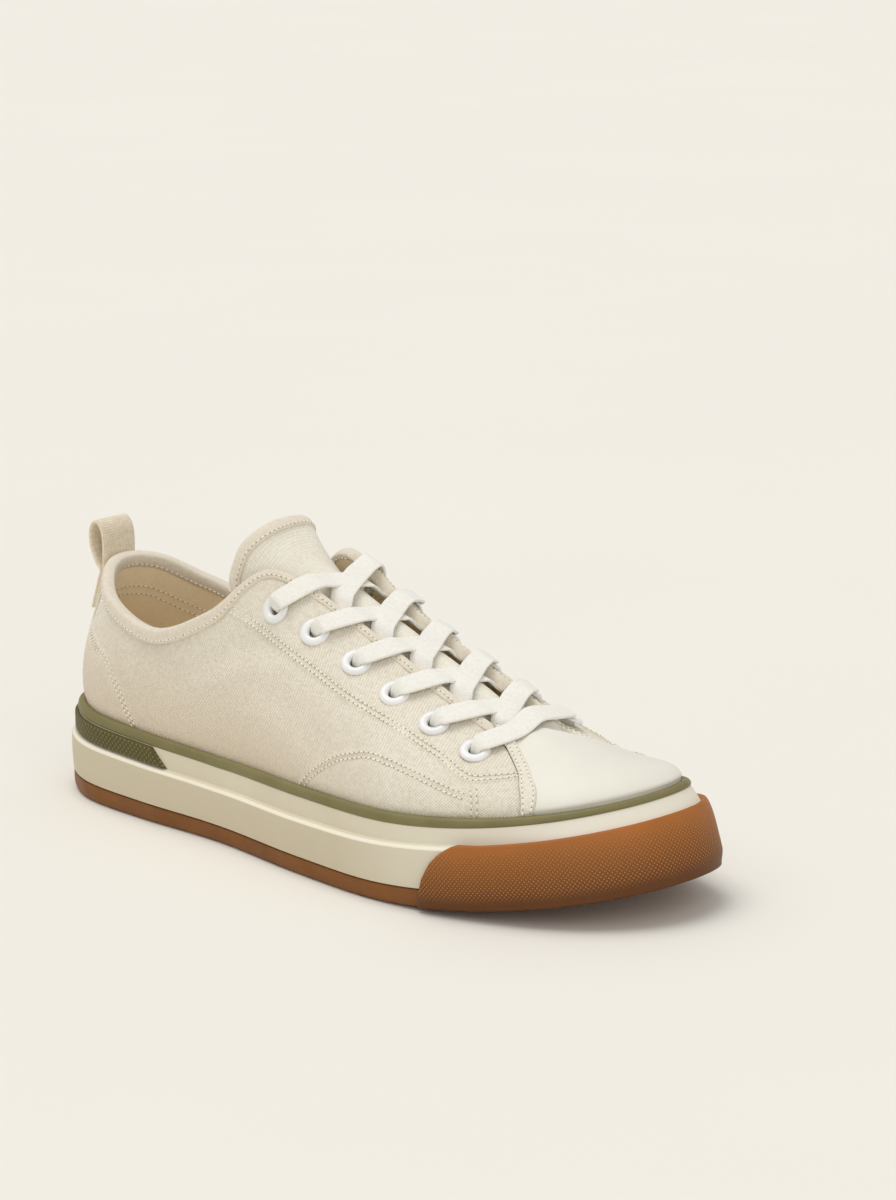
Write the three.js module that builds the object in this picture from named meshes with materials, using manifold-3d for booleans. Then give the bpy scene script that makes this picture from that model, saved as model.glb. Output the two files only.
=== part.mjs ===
// Low canvas sneaker for the right foot, standing empty on its sole.
// Millimetres. +Z is up, +X points to the toe, +Y to the inner side of the foot.
// The origin is on the floor, under the middle of the sole's length.
import * as THREE from "three";
import { mergeVertices } from "three/addons/utils/BufferGeometryUtils.js";
import Module from "manifold-3d";

// Driving sizes of the last and the sole
const LENGTH = 292; // sole wall, heel to toe
const BALL_WIDTH = 104; // the outline's widths are shares of this
const INSTEP_HEIGHT = 103; // floor to the top corner of the eyestay
const TOE_SPRING = 14; // lift of the toe tip off the floor
const SPRING_START = 0.62; // share of the length where the toe begins to lift
const TOE_LEAN = 1.4; // how far the toe's wall leans back, against square to the underside

// Heights of the sole's layers above its own underside, at the waist
const GUM_HEIGHT = 6.8; // gum outsole
const FLOOR_HEIGHT = 17; // inside floor that the insole lies on
const LEDGE_HEIGHT = 22.6; // step in the side wall
const BAND_RISE = 5.4; // the upper band stands this far above the ledge
const BEAD_RISE = 4; // and the green bead this far above the band
const BAND_HEIGHT = LEDGE_HEIGHT + BAND_RISE;
const BEAD_HEIGHT = BAND_HEIGHT + BEAD_RISE;

// Steps and walls of the sole
const LEDGE_STEP = 2.5; // how far the upper band stands back from the wall
const BAND_WALL = 3; // thickness of the upper band
const GUM_ROUND = 2; // rounding of the outsole's lower edge
const WALL_BULGE = 0.5; // fullness of the lower wall
const BEAD_THICKNESS = 3.4;
const GUARD_THICKNESS = 2; // gum guard round the toe
const HEEL_BAND = 1.3; // thickness of the band round the heel
const INSOLE_THICKNESS = 4;

// Cloth and trim
const GAP = 0.3; // clearance between touching pieces
const LAY = 0.5; // clearance under tape and cap, which lie over curved canvas
const CANVAS = 1.8; // wall of the upper
const CAP_THICKNESS = 0.9; // smooth toe cap over the canvas
const STAY_THICKNESS = 0.9; // strip down the back seam
const TAPE_THICKNESS = 1; // binding tape
const TAPE_DEPTH = 5; // the tape's reach down from the edge
const TONGUE_THICKNESS = 2.4;
const LOOP_WIDTH = 19; // tape of the pull loop
const LOOP_THICKNESS = 1.6;
const LOOP_FOOT = 20; // the foot of the loop's seam below the collar
const LOOP_NECK = 7; // the seam's top below the collar
const LOOP_RISE = 14; // the loop's top above the collar
const LOOP_BOW = 8; // the loop's reach behind the heel

// Lacing
const EYELET_COUNT = 6; // on each side
const EYELET_RADIUS = 5.6;
const EYELET_HOLE = 2.4;
const EYELET_DOME = 1.4; // the eyelet's height over the canvas
const EYELET_INSET = 14.5; // eyelet centre to the throat's edge
const EYELET_FIRST = LENGTH * 0.2517; // the foremost eyelet's place along the shoe
const EYELET_PITCH = LENGTH * 0.0651; // from one eyelet to the next, along the shoe
const LACE_WIDTH = 7;
const LACE_THICKNESS = 1.4;
const UNDER_RISE = 1.2; // lift of a crossing's lower run at the middle of the throat
const OVER_RISE = UNDER_RISE * 2; // and of the run that lies over it

// Mesh steps
const AROUND = 72; // sections around the outline
const UP = 8; // steps from the sole to the upper's edge

// The sole's outline from above, heel to toe along the outer side and back along the inner side.
// along is a share of LENGTH from the heel, across a share of BALL_WIDTH.
const OUTLINE = [
  { along: 0.0, across: 0.0 },
  { along: 0.018, across: -0.182 },
  { along: 0.09, across: -0.318 },
  { along: 0.21, across: -0.364 },
  { along: 0.36, across: -0.383 },
  { along: 0.52, across: -0.459 },
  { along: 0.67, across: -0.499 },
  { along: 0.8, across: -0.443 },
  { along: 0.91, across: -0.314 },
  { along: 0.978, across: -0.126 },
  { along: 1.0, across: 0.086 },
  { along: 0.978, across: 0.28 },
  { along: 0.91, across: 0.384 },
  { along: 0.81, across: 0.46 },
  { along: 0.7, across: 0.478 },
  { along: 0.56, across: 0.41 },
  { along: 0.4, across: 0.33 },
  { along: 0.23, across: 0.34 },
  { along: 0.09, across: 0.305 },
  { along: 0.018, across: 0.178 },
];

// The sole is thicker under the heel. thickness multiplies every layer's height.
const THICKNESS = [
  { along: 0, thickness: 1.13 },
  { along: 0.15, thickness: 1.07 },
  { along: 0.35, thickness: 0.99 },
  { along: 0.65, thickness: 1.01 },
  { along: 1, thickness: 0.98 },
];

// The upper's sections, one for each row of the outline. along, across and height place the
// opening's edge; the rest shape the wall between the sole and the edge. along is a share of LENGTH,
// across and bulge are shares of BALL_WIDTH, height, rise and drop shares of INSTEP_HEIGHT,
// and reach is a share of the way from the edge back to the sole.
const SECTIONS = [
  { along: 0.06, across: 0.0, height: 0.895, rise: 0.2, bulge: 0.035, reach: 0.3, drop: 0.17 },
  { along: 0.08, across: -0.145, height: 0.871, rise: 0.2, bulge: 0.035, reach: 0.25, drop: 0.17 },
  { along: 0.13, across: -0.255, height: 0.787, rise: 0.18, bulge: 0.02, reach: 0.1, drop: 0.15 },
  { along: 0.219, across: -0.29, height: 0.723, rise: 0.16, bulge: 0.01, reach: 0.1, drop: 0.14 },
  { along: 0.315, across: -0.279, height: 0.83, rise: 0.18, bulge: 0.01, reach: 0.2, drop: 0.16 },
  { along: 0.4, across: -0.192, height: 1.008, rise: 0.22, bulge: 0.01, reach: 0.35, drop: 0.18 },
  { along: 0.517, across: -0.121, height: 0.866, rise: 0.17, bulge: 0.01, reach: 0.42, drop: 0.18 },
  { along: 0.65, across: -0.12, height: 0.699, rise: 0.12, bulge: 0.01, reach: 0.42, drop: 0.15 },
  { along: 0.757, across: -0.112, height: 0.566, rise: 0.07, bulge: 0.005, reach: 0.45, drop: 0.09 },
  { along: 0.767, across: -0.055, height: 0.557, rise: 0.06, bulge: 0.0, reach: 0.45, drop: 0 },
  { along: 0.768, across: 0.003, height: 0.559, rise: 0.04, bulge: 0.0, reach: 0.45, drop: -0.01 },
  { along: 0.767, across: 0.06, height: 0.561, rise: 0.045, bulge: 0.0, reach: 0.45, drop: 0 },
  { along: 0.757, across: 0.117, height: 0.573, rise: 0.05, bulge: 0.005, reach: 0.45, drop: 0.09 },
  { along: 0.65, across: 0.124, height: 0.704, rise: 0.12, bulge: 0.01, reach: 0.42, drop: 0.15 },
  { along: 0.517, across: 0.125, height: 0.87, rise: 0.18, bulge: 0.005, reach: 0.42, drop: 0.18 },
  { along: 0.4, across: 0.196, height: 1.015, rise: 0.24, bulge: 0.0, reach: 0.35, drop: 0.18 },
  { along: 0.315, across: 0.275, height: 0.84, rise: 0.2, bulge: 0.0, reach: 0.2, drop: 0.16 },
  { along: 0.219, across: 0.285, height: 0.74, rise: 0.17, bulge: 0.005, reach: 0.1, drop: 0.14 },
  { along: 0.13, across: 0.25, height: 0.79, rise: 0.18, bulge: 0.02, reach: 0.1, drop: 0.15 },
  { along: 0.08, across: 0.14, height: 0.871, rise: 0.2, bulge: 0.035, reach: 0.25, drop: 0.17 },
];

// The tongue's sections, from its seam under the vamp to its free top. along is a share of LENGTH,
// height of INSTEP_HEIGHT, half (its half width), depth (the fall of its wings) and sweep (how far
// the wings trail back) of BALL_WIDTH. power squares the arch's shoulders.
const TONGUE = [
  { along: 0.8, height: 0.5, half: 0.13, depth: 0.05, sweep: 0, power: 2 },
  { along: 0.765, height: 0.505, half: 0.14, depth: 0.08, sweep: 0, power: 2 },
  { along: 0.72, height: 0.575, half: 0.165, depth: 0.16, sweep: 0, power: 2 },
  { along: 0.65, height: 0.668, half: 0.18, depth: 0.22, sweep: 0, power: 2 },
  { along: 0.517, height: 0.832, half: 0.18, depth: 0.24, sweep: 0, power: 2 },
  { along: 0.44, height: 0.94, half: 0.17, depth: 0.22, sweep: 0, power: 2.1 },
  { along: 0.405, height: 1.005, half: 0.163, depth: 0.18, sweep: 0.01, power: 2.3 },
  { along: 0.38, height: 1.072, half: 0.165, depth: 0.16, sweep: 0.04, power: 2.5 },
  { along: 0.362, height: 1.125, half: 0.176, depth: 0.17, sweep: 0.07, power: 2.5 },
];

// The bow of the pull loop above its sewn foot, from the heel's side over the top and back down.
// out is a share of LOOP_BOW behind the heel, up a share of the bow's height.
const BOW = [
  { out: 0.1, up: -0.06 },
  { out: 0.08, up: 0.25 },
  { out: 0.06, up: 0.55 },
  { out: 0.14, up: 0.8 },
  { out: 0.36, up: 0.95 },
  { out: 0.6, up: 1 },
  { out: 0.86, up: 0.92 },
  { out: 1, up: 0.72 },
  { out: 0.9, up: 0.42 },
  { out: 0.6, up: 0.15 },
  { out: 0.34, up: -0.06 },
];

const wasm = await Module();
wasm.setup();

// A value part of the way from one number to another
const mix = (from, to, share) => from + (to - from) * share;

// Evenly spaced shares from 0 to 1
const shares = (steps) => Array.from({ length: steps + 1 }, (_, i) => i / steps);

// The value of a named column at turn (0 to 1 round the shoe), smooth through all the rows
function column(rows, name, turn) {
  const place = (((turn % 1) + 1) % 1) * rows.length;
  const first = Math.floor(place);
  const s = place - first;
  const [a, b, c, d] = [-1, 0, 1, 2].map((step) => rows[(first + step + rows.length) % rows.length][name]);
  return b + 0.5 * s * (c - a + s * (2 * a - 5 * b + 4 * c - d + s * (3 * (b - c) + d - a)));
}

// The value of a named column at a place in an open table, straight from row to row
function between(rows, key, at, name) {
  const last = rows.length - 1;
  const turned = rows[0][key] > rows[last][key] ? -1 : 1;
  let i = 0;
  while (i < last - 1 && (at - rows[i + 1][key]) * turned > 0) i++;
  const share = (at - rows[i][key]) / (rows[i + 1][key] - rows[i][key]);
  return mix(rows[i][name], rows[i + 1][name], Math.min(1, Math.max(0, share)));
}

const shareAlong = (x) => x / LENGTH + 0.5;

// The sole's bend at a place along the shoe: how far it lifts off the floor there, and how steeply
function bendAt(x) {
  const lift = Math.max(0, (shareAlong(x) - SPRING_START) / (1 - SPRING_START));
  return { rise: TOE_SPRING * lift * lift, slope: (2 * TOE_SPRING * lift) / ((1 - SPRING_START) * LENGTH) };
}

// A point of the outline moved outward by an offset, on a layer of the sole. The layers lean back
// with the bend.
function outlineAt(turn, offset, height) {
  const at = (t) => new THREE.Vector2(
    (column(OUTLINE, "along", t) - 0.5) * LENGTH,
    column(OUTLINE, "across", t) * BALL_WIDTH,
  );
  const step = 0.25 / AROUND;
  const tangent = at(turn + step).sub(at(turn - step)).normalize();
  const p = at(turn).add(new THREE.Vector2(tangent.y, -tangent.x).multiplyScalar(offset));
  const layer = height * between(THICKNESS, "along", shareAlong(p.x), "thickness");
  const { rise, slope } = bendAt(p.x);
  return new THREE.Vector3(p.x - layer * slope * TOE_LEAN, p.y, rise + layer);
}

// A geometry from points and triangles, turned so that its faces point out
function closedGeometry(points, triangles) {
  const volume = triangles.reduce(
    (sum, [a, b, c]) => sum + points[a].dot(new THREE.Vector3().crossVectors(points[b], points[c])), 0);
  const facing = volume < 0 ? triangles.map(([a, b, c]) => [a, c, b]) : triangles;
  const geometry = new THREE.BufferGeometry().setFromPoints(points);
  geometry.setIndex(facing.flat());
  return geometry;
}

// Joins rings of points into one closed body. closed joins the last ring to the first; otherwise both
// ends are capped by rungs across the ring. A ring with tips starts at one tip of its ladder of rungs,
// as an outline does at the heel; a ring without tips starts and ends with a whole rung.
function loft(rings, { closed = false, tips = false } = {}) {
  const size = rings[0].length;
  const triangles = [];
  const last = closed ? rings.length : rings.length - 1;
  for (let i = 0; i < last; i++) {
    const here = i * size;
    const next = ((i + 1) % rings.length) * size;
    for (let k = 0; k < size; k++) {
      const l = (k + 1) % size;
      triangles.push([here + k, here + l, next + l], [here + k, next + l, next + k]);
    }
  }
  const cap = (start, turned) => {
    const add = (a, b, c) => triangles.push(turned ? [a, c, b] : [a, b, c]);
    const across = (k) => start + (tips ? (size - k) % size : size - 1 - k);
    for (let k = 0; k < size / 2 - (tips ? 0 : 1); k++) {
      if (across(k) !== start + k) add(start + k, across(k), across(k + 1));
      if (across(k + 1) !== start + k + 1) add(start + k, across(k + 1), start + k + 1);
    }
  };
  if (!closed) {
    cap(0, false);
    cap((rings.length - 1) * size, true);
  }
  return closedGeometry(rings.flat(), triangles);
}

// A wall with two faces, each a function of two shares, with one row of points for each value
function wall(outer, inner, across, up) {
  return loft(across.map((u) => [
    ...up.map((v) => outer(u, v)),
    ...[...up].reverse().map((v) => inner(u, v)),
  ]));
}

// One ring of the outline for a row of [offset, height], heel first
const outlineRing = ([offset, height]) =>
  shares(AROUND).slice(0, -1).map((turn) => outlineAt(turn, offset, height));

// The turns of the outline's sections between two turns, with both ends
function turnsBetween(from, to) {
  const [first, last] = [Math.ceil(from * AROUND + 0.2), Math.floor(to * AROUND - 0.2)];
  return [from, ...Array.from({ length: last - first + 1 }, (_, i) => (first + i) / AROUND), to];
}

// The upper's own rows between two heights of its face, with both ends
const rowsBetween = (low, high) => [low, ...ROWS.filter((v) => v > low + 0.02 && v < high - 0.02), high];

function toManifold(geometry) {
  const bare = geometry.clone();
  bare.deleteAttribute("normal");
  bare.deleteAttribute("uv");
  const merged = mergeVertices(bare, 1e-4);
  return new wasm.Manifold(new wasm.Mesh({
    numProp: 3,
    vertProperties: new Float32Array(merged.attributes.position.array),
    triVerts: new Uint32Array(merged.index.array),
  }));
}

function fromManifold(solid) {
  const mesh = solid.getMesh();
  const geometry = new THREE.BufferGeometry();
  geometry.setAttribute("position", new THREE.BufferAttribute(mesh.vertProperties, 3));
  geometry.setIndex(new THREE.BufferAttribute(mesh.triVerts, 1));
  return geometry;
}

// The upper's outer face
const THROAT_TURN = { rear: 0.22, front: 0.42 }; // the throat's ends on the outer side
const FOOT_INSET = LEDGE_STEP + BAND_WALL + GAP; // the upper stands inside the band
const SKIRT = 0.16; // share of the face's rows below the bead's top
const ROWS = [0, ...shares(UP).map((share) => mix(SKIRT, 1, share))];

// A point of the outer face: turn goes round the shoe, v from the sole's floor to the edge
function lastPoint(turn, v) {
  const value = (name) => column(SECTIONS, name, turn);
  const root = outlineAt(turn, -FOOT_INSET, BEAD_HEIGHT);
  if (v < SKIRT) return outlineAt(turn, -FOOT_INSET, FLOOR_HEIGHT + GAP).lerp(root, v / SKIRT);
  const outward = outlineAt(turn, 1, 0).sub(outlineAt(turn, 0, 0)).setZ(0);
  const edge = new THREE.Vector3(
    (value("along") - 0.5) * LENGTH,
    value("across") * BALL_WIDTH,
    value("height") * INSTEP_HEIGHT,
  );
  const lower = root.clone().addScaledVector(outward, value("bulge") * BALL_WIDTH);
  lower.z += value("rise") * INSTEP_HEIGHT;
  const upper = edge.clone().lerp(root, value("reach"));
  upper.z = edge.z - value("drop") * INSTEP_HEIGHT;
  return new THREE.CubicBezierCurve3(root, lower, upper, edge).getPoint((v - SKIRT) / (1 - SKIRT));
}

// Unit normal of the outer face
function lastNormal(turn, v) {
  const step = 0.004;
  const around = lastPoint(turn + step, v).sub(lastPoint(turn - step, v));
  const [low, high] = v < SKIRT + step ? [0, SKIRT] : [v - step, Math.min(1, v + step)];
  const up = lastPoint(turn, high).sub(lastPoint(turn, low));
  return around.cross(up).normalize();
}

// A point off the outer face by a distance
const offLast = (turn, v, distance) => lastPoint(turn, v).addScaledVector(lastNormal(turn, v), distance);

// The opening's edge, and the row at a depth below it
const EDGE = shares(AROUND * 4).map((turn) => lastPoint(turn, 1));

function rowAtDepth(turn, depth) {
  let [low, high] = [SKIRT, 1];
  for (let i = 0; i < 20; i++) {
    const middle = (low + high) / 2;
    const p = lastPoint(turn, middle);
    if (EDGE.every((q) => q.distanceTo(p) > depth)) low = middle;
    else high = middle;
  }
  return low;
}

// The turn at which a line at a depth below the throat's edge passes a place along the shoe,
// on the outer (-1) or inner (1) side
function throatTurn(x, side, depth) {
  let [rear, front] = [THROAT_TURN.rear, THROAT_TURN.front];
  for (let i = 0; i < 14; i++) {
    const middle = (rear + front) / 2;
    const turn = side < 0 ? middle : 1 - middle;
    if (lastPoint(turn, depth > 0 ? rowAtDepth(turn, depth) : 1).x < x) rear = middle;
    else front = middle;
  }
  return side < 0 ? rear : 1 - rear;
}

// Sole

const outsole = () => loft([
  [-GUM_ROUND, 0],
  [-GUM_ROUND * 0.3, GUM_ROUND * 0.3],
  [0, GUM_ROUND],
  [0, GUM_HEIGHT - GAP],
].map(outlineRing), { tips: true });

// The cream cup: a lower wall, the ledge, the upper band that stands back from it, and the floor
const midsole = () => loft([
  [0, GUM_HEIGHT],
  [WALL_BULGE, mix(GUM_HEIGHT, LEDGE_HEIGHT, 0.5)],
  [WALL_BULGE * 0.6, LEDGE_HEIGHT - 1],
  [-WALL_BULGE, LEDGE_HEIGHT],
  [-LEDGE_STEP, LEDGE_HEIGHT],
  [-LEDGE_STEP, BAND_HEIGHT],
  [-LEDGE_STEP - BAND_WALL, BAND_HEIGHT],
  [-LEDGE_STEP - BAND_WALL, FLOOR_HEIGHT],
].map(outlineRing), { tips: true });

function bead() {
  const inside = -FOOT_INSET + GAP;
  const outside = inside + BEAD_THICKNESS;
  const [low, high] = [BAND_HEIGHT + GAP, BEAD_HEIGHT];
  return loft([
    [inside, low],
    [outside - BEAD_THICKNESS * 0.2, low],
    [outside, mix(low, high, 0.45)],
    [outside - BEAD_THICKNESS * 0.25, high],
    [inside, high],
  ].map(outlineRing), { closed: true });
}

const insole = () => {
  const edge = -FOOT_INSET - CANVAS - GAP;
  return loft([[edge, FLOOR_HEIGHT + GAP], [edge, FLOOR_HEIGHT + INSOLE_THICKNESS]].map(outlineRing), { tips: true });
};

// The dark band round the heel, in the step between the ledge and the bead. Its ends slant.
const HEEL_BAND_TURN = { low: 0.163, high: 0.152 };

function heelBand() {
  const face = (offset) => (u, v) => {
    const reach = mix(HEEL_BAND_TURN.low, HEEL_BAND_TURN.high, v);
    return outlineAt(mix(-reach, reach, u), offset, mix(LEDGE_HEIGHT + GAP, BAND_HEIGHT, v));
  };
  const inside = GAP - LEDGE_STEP;
  return wall(face(inside + HEEL_BAND), face(inside), shares(24), [0, 1]);
}

// The gum guard round the toe. lean draws its two ends in, and bulge fills its face.
const GUARD_TURN = { outer: 0.32, inner: 0.68 };
const GUARD = [
  { height: 0.03, lean: 0, bulge: 0.2 },
  { height: 0.2, lean: 0.001, bulge: 0.9 },
  { height: 0.6, lean: 0.005, bulge: 1 },
  { height: 0.86, lean: 0.013, bulge: 0.85 },
  { height: 1, lean: 0.026, bulge: 0.3 },
];

function toeGuard() {
  const face = (outside) => (u, v) => {
    const row = GUARD[Math.round(v * (GUARD.length - 1))];
    const turn = mix(GUARD_TURN.outer + row.lean, GUARD_TURN.inner - row.lean, u);
    const offset = WALL_BULGE + GAP + (outside ? GUARD_THICKNESS * row.bulge : 0);
    return outlineAt(turn, offset, LEDGE_HEIGHT * row.height);
  };
  return wall(face(true), face(false), shares(26), shares(GUARD.length - 1));
}

// Upper

// The canvas upper: one hollow wall, open at the collar, the throat and underneath
function upper() {
  const rings = shares(AROUND).slice(0, -1).map((turn) => [
    ...ROWS.map((v) => lastPoint(turn, v)),
    ...[...ROWS].reverse().map((v) => offLast(turn, v, -CANVAS)),
  ]);
  const punches = eyeletPlaces().map((place) => {
    const punch = new THREE.CylinderGeometry(EYELET_HOLE + BARREL + GAP, EYELET_HOLE + BARREL + GAP, CANVAS * 5, 8);
    return toManifold(standOn(punch, place));
  });
  return fromManifold(punches.reduce((solid, punch) => solid.subtract(punch), toManifold(loft(rings, { closed: true }))));
}

// The smooth toe cap over the canvas, from the bead to the vamp's edge
const CAP_TURN = { outer: 0.3889, inner: 0.6111 };

function toeCap() {
  const low = mix(SKIRT, ROWS[2], 0.15);
  const face = (distance) => (turn, v) => offLast(turn, v, distance);
  return wall(face(LAY + CAP_THICKNESS), face(LAY), turnsBetween(CAP_TURN.outer, CAP_TURN.inner), rowsBetween(low, 1));
}

// The folded tape over the collar's and the throat's edge, up to the toe cap
const TAPE_TURN = { outer: CAP_TURN.outer - 0.001, inner: CAP_TURN.inner + 0.001 };

function binding() {
  return loft(turnsBetween(TAPE_TURN.inner - 1, TAPE_TURN.outer).map((turn) => {
    const low = rowAtDepth(turn, TAPE_DEPTH);
    const over = lastPoint(turn, 1).sub(lastPoint(turn, 0.9)).normalize();
    const rim = (distance, lift) => offLast(turn, 1, distance).addScaledVector(over, lift);
    const outside = LAY + TAPE_THICKNESS;
    const lining = -CANVAS - LAY;
    const clear = LAY * 1.2;
    return [
      offLast(turn, low, outside),
      rim(outside, clear),
      rim(-CANVAS / 2, clear + TAPE_THICKNESS),
      rim(lining - TAPE_THICKNESS, clear),
      offLast(turn, low, lining - TAPE_THICKNESS),
      offLast(turn, low, lining),
      rim(lining, clear),
      rim(LAY, clear),
      offLast(turn, low, LAY),
    ];
  }));
}

// The strip over the back seam, under the tape
const STAY_TURN = 0.0417; // half its width, as a share of the way round

function backStay() {
  const low = mix(SKIRT, ROWS[2], 0.15);
  const top = rowAtDepth(0, TAPE_DEPTH) - 0.03;
  const face = (distance) => (turn, v) => offLast(turn, v, distance);
  return wall(face(GAP + STAY_THICKNESS), face(GAP), turnsBetween(-STAY_TURN, STAY_TURN), rowsBetween(low, top));
}

// The tongue under the throat: an arched sheet with wings
const WING_ANGLE = 1.4; // how far the arch turns down to the wings' ends, in radians

function tonguePoint(along, turn) {
  const value = (name) => between(TONGUE, "along", along, name);
  const angle = turn * WING_ANGLE;
  const reach = Math.abs(Math.sin(angle));
  const fall = 1 - (1 - reach ** value("power")) ** (1 / value("power"));
  return new THREE.Vector3(
    (along - 0.5) * LENGTH - value("sweep") * BALL_WIDTH * reach ** 4,
    value("half") * BALL_WIDTH * Math.sin(angle),
    value("height") * INSTEP_HEIGHT - fall * value("depth") * BALL_WIDTH,
  );
}

function tongue() {
  const inner = (along, turn) => {
    const step = 0.01;
    const back = tonguePoint(along - step, turn).sub(tonguePoint(along + step, turn));
    const across = tonguePoint(along, turn + step).sub(tonguePoint(along, turn - step));
    return tonguePoint(along, turn).addScaledVector(across.cross(back).normalize(), TONGUE_THICKNESS);
  };
  return wall(tonguePoint, inner, TONGUE.map((row) => row.along), shares(12).map((share) => mix(-1, 1, share)));
}

// The pull loop: one tape folded in two, sewn behind the heel and open above the collar
function pullLoop() {
  const collar = lastPoint(0, 1).z;
  const behind = (drop) => {
    let v = 1;
    while (v > SKIRT && lastPoint(0, v).z > collar - drop) v -= 0.01;
    return { point: offLast(0, v, GAP * 2 + STAY_THICKNESS + LOOP_THICKNESS), up: lastNormal(0, v) };
  };
  const seam = [LOOP_FOOT, (LOOP_FOOT + LOOP_NECK) / 2, LOOP_NECK].map(behind);
  const neck = seam[2].point.clone();
  neck.x += LOOP_THICKNESS;
  const height = collar + LOOP_RISE - LOOP_THICKNESS / 2 - neck.z;
  const path = BOW.map(({ out, up }) => new THREE.Vector3(neck.x - out * LOOP_BOW, 0, neck.z + up * height));
  const bow = path.map((point, i) => {
    const tangent = path[Math.min(i + 1, path.length - 1)].clone().sub(path[Math.max(i - 1, 0)]);
    return { point, up: tangent.cross(new THREE.Vector3(0, 1, 0)) };
  });
  return fromManifold(
    toManifold(ribbon(seam, LOOP_WIDTH, LOOP_THICKNESS * 2)).add(toManifold(ribbon(bow, LOOP_WIDTH, LOOP_THICKNESS))));
}

// Eyelets and lace

const BARREL = 0.8; // wall of the eyelet's barrel

// The eyelets' places on the face, from the toe to the collar on each side
function eyeletPlaces() {
  return [-1, 1].flatMap((side) => shares(EYELET_COUNT - 1).map((_, i) => {
    const turn = throatTurn(EYELET_FIRST - i * EYELET_PITCH, side, EYELET_INSET);
    const v = rowAtDepth(turn, EYELET_INSET);
    return { side, number: i + 1, turn, centre: lastPoint(turn, v), normal: lastNormal(turn, v) };
  }));
}

// Stands a geometry whose axis is Y on the face, at an eyelet's place
function standOn(geometry, { centre, normal }) {
  geometry.applyQuaternion(new THREE.Quaternion().setFromUnitVectors(new THREE.Vector3(0, 1, 0), normal));
  return geometry.translate(centre.x, centre.y, centre.z);
}

function eyelet(place) {
  const lift = GAP * 2;
  const back = -CANVAS - lift;
  const profile = [
    [EYELET_HOLE, back - BARREL],
    [EYELET_HOLE + BARREL, back - BARREL],
    [EYELET_HOLE + BARREL, lift],
    [EYELET_RADIUS, lift],
    [EYELET_RADIUS * 0.82, EYELET_DOME],
    [EYELET_HOLE, EYELET_DOME * 0.8],
    [EYELET_HOLE, back - BARREL],
  ].map(([radius, height]) => new THREE.Vector2(radius, height));
  return standOn(new THREE.LatheGeometry(profile, 10), place);
}

// A flat tape through points, each with its own upward direction
function ribbon(stations, width, thickness) {
  return loft(stations.map(({ point, up }, i) => {
    const next = stations[Math.min(i + 1, stations.length - 1)].point;
    const before = stations[Math.max(i - 1, 0)].point;
    const side = next.clone().sub(before).cross(up).setLength(width / 2);
    const rise = up.clone().setLength(thickness / 2);
    return [
      point.clone().add(side).add(rise),
      point.clone().sub(side).add(rise),
      point.clone().sub(side).sub(rise),
      point.clone().add(side).sub(rise),
    ];
  }));
}

const LACE_LIFT = EYELET_DOME + GAP * 2 + LACE_THICKNESS / 2; // middle of the lace over the face at an eyelet
const UPWARD = new THREE.Vector3(Math.sin(0.38), 0, Math.cos(0.38)); // square to the throat's slope

// One lace end's run: from on top of an eyelet, over the throat, to a dip short of the other edge.
// rise lifts its middle.
function laceRun(from, ahead, rise) {
  const start = from.centre.clone().addScaledVector(from.normal, LACE_LIFT);
  const edge = offLast(from.turn, 1, LACE_LIFT + TAPE_THICKNESS);
  const far = throatTurn(from.centre.x + ahead, -from.side, 0);
  const end = lastPoint(far, 1);
  end.y -= end.y * 0.28;
  const share = (y) => (y - start.y) / (end.y - start.y);
  const along = (y, z) => new THREE.Vector3(mix(start.x, end.x, share(y)), y, z);
  const slope = (y) => mix(edge.z, end.z, (y - edge.y) / (end.y - edge.y));
  return ribbon([
    { point: start, up: from.normal.clone() },
    { point: along(edge.y, edge.z + 0.6), up: UPWARD.clone().add(from.normal) },
    { point: along(edge.y * 0.45, slope(edge.y * 0.45) + rise), up: UPWARD },
    { point: along(end.y * 0.35, slope(end.y * 0.35) + rise), up: UPWARD },
    { point: along(end.y, slope(end.y) + rise * 0.4), up: UPWARD },
  ], LACE_WIDTH, LACE_THICKNESS);
}

// A crossing: the run from the inner side's eyelet lies over the run from the outer side's
function laceCrossing(number) {
  const places = eyeletPlaces().filter((place) => place.number === number);
  const over = places.find((place) => place.side > 0);
  const under = places.find((place) => place.side < 0);
  const ahead = EYELET_PITCH * 0.75;
  return fromManifold(
    toManifold(laceRun(under, ahead, UNDER_RISE)).add(toManifold(laceRun(over, ahead, OVER_RISE))));
}

// The bar between the two foremost eyelets
function laceBar() {
  const [outer, inner] = eyeletPlaces().filter((place) => place.number === 1);
  const on = ({ centre, normal }) => ({
    point: centre.clone().addScaledVector(normal, LACE_LIFT),
    up: normal.clone(),
  });
  const over = ({ centre, side }) => ({
    point: offLast(throatTurn(centre.x, side, 0), 1, LACE_LIFT + TAPE_THICKNESS),
    up: UPWARD,
  });
  return ribbon([on(outer), over(outer), over(inner), on(inner)], LACE_WIDTH, LACE_THICKNESS);
}

const finish = (colour, roughness) => new THREE.MeshStandardMaterial({ color: colour, roughness, metalness: 0 });
const MATERIALS = {
  canvas: finish("#ddd2bc", 0.95),
  tape: finish("#e6dcc8", 0.9),
  smooth: finish("#ebe7da", 0.6),
  cream: finish("#d9d1bb", 0.6),
  gum: finish("#96602f", 0.55),
  olive: finish("#7d7a50", 0.6),
  darkOlive: finish("#55502c", 0.65),
  lace: finish("#ebe9df", 0.9),
  enamel: finish("#f0eff0", 0.35),
  lining: finish("#d8c4a0", 0.9),
};

const shoe = new THREE.Group();
function add(name, geometry, material) {
  const mesh = new THREE.Mesh(geometry, material);
  mesh.name = name;
  shoe.add(mesh);
}

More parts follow.
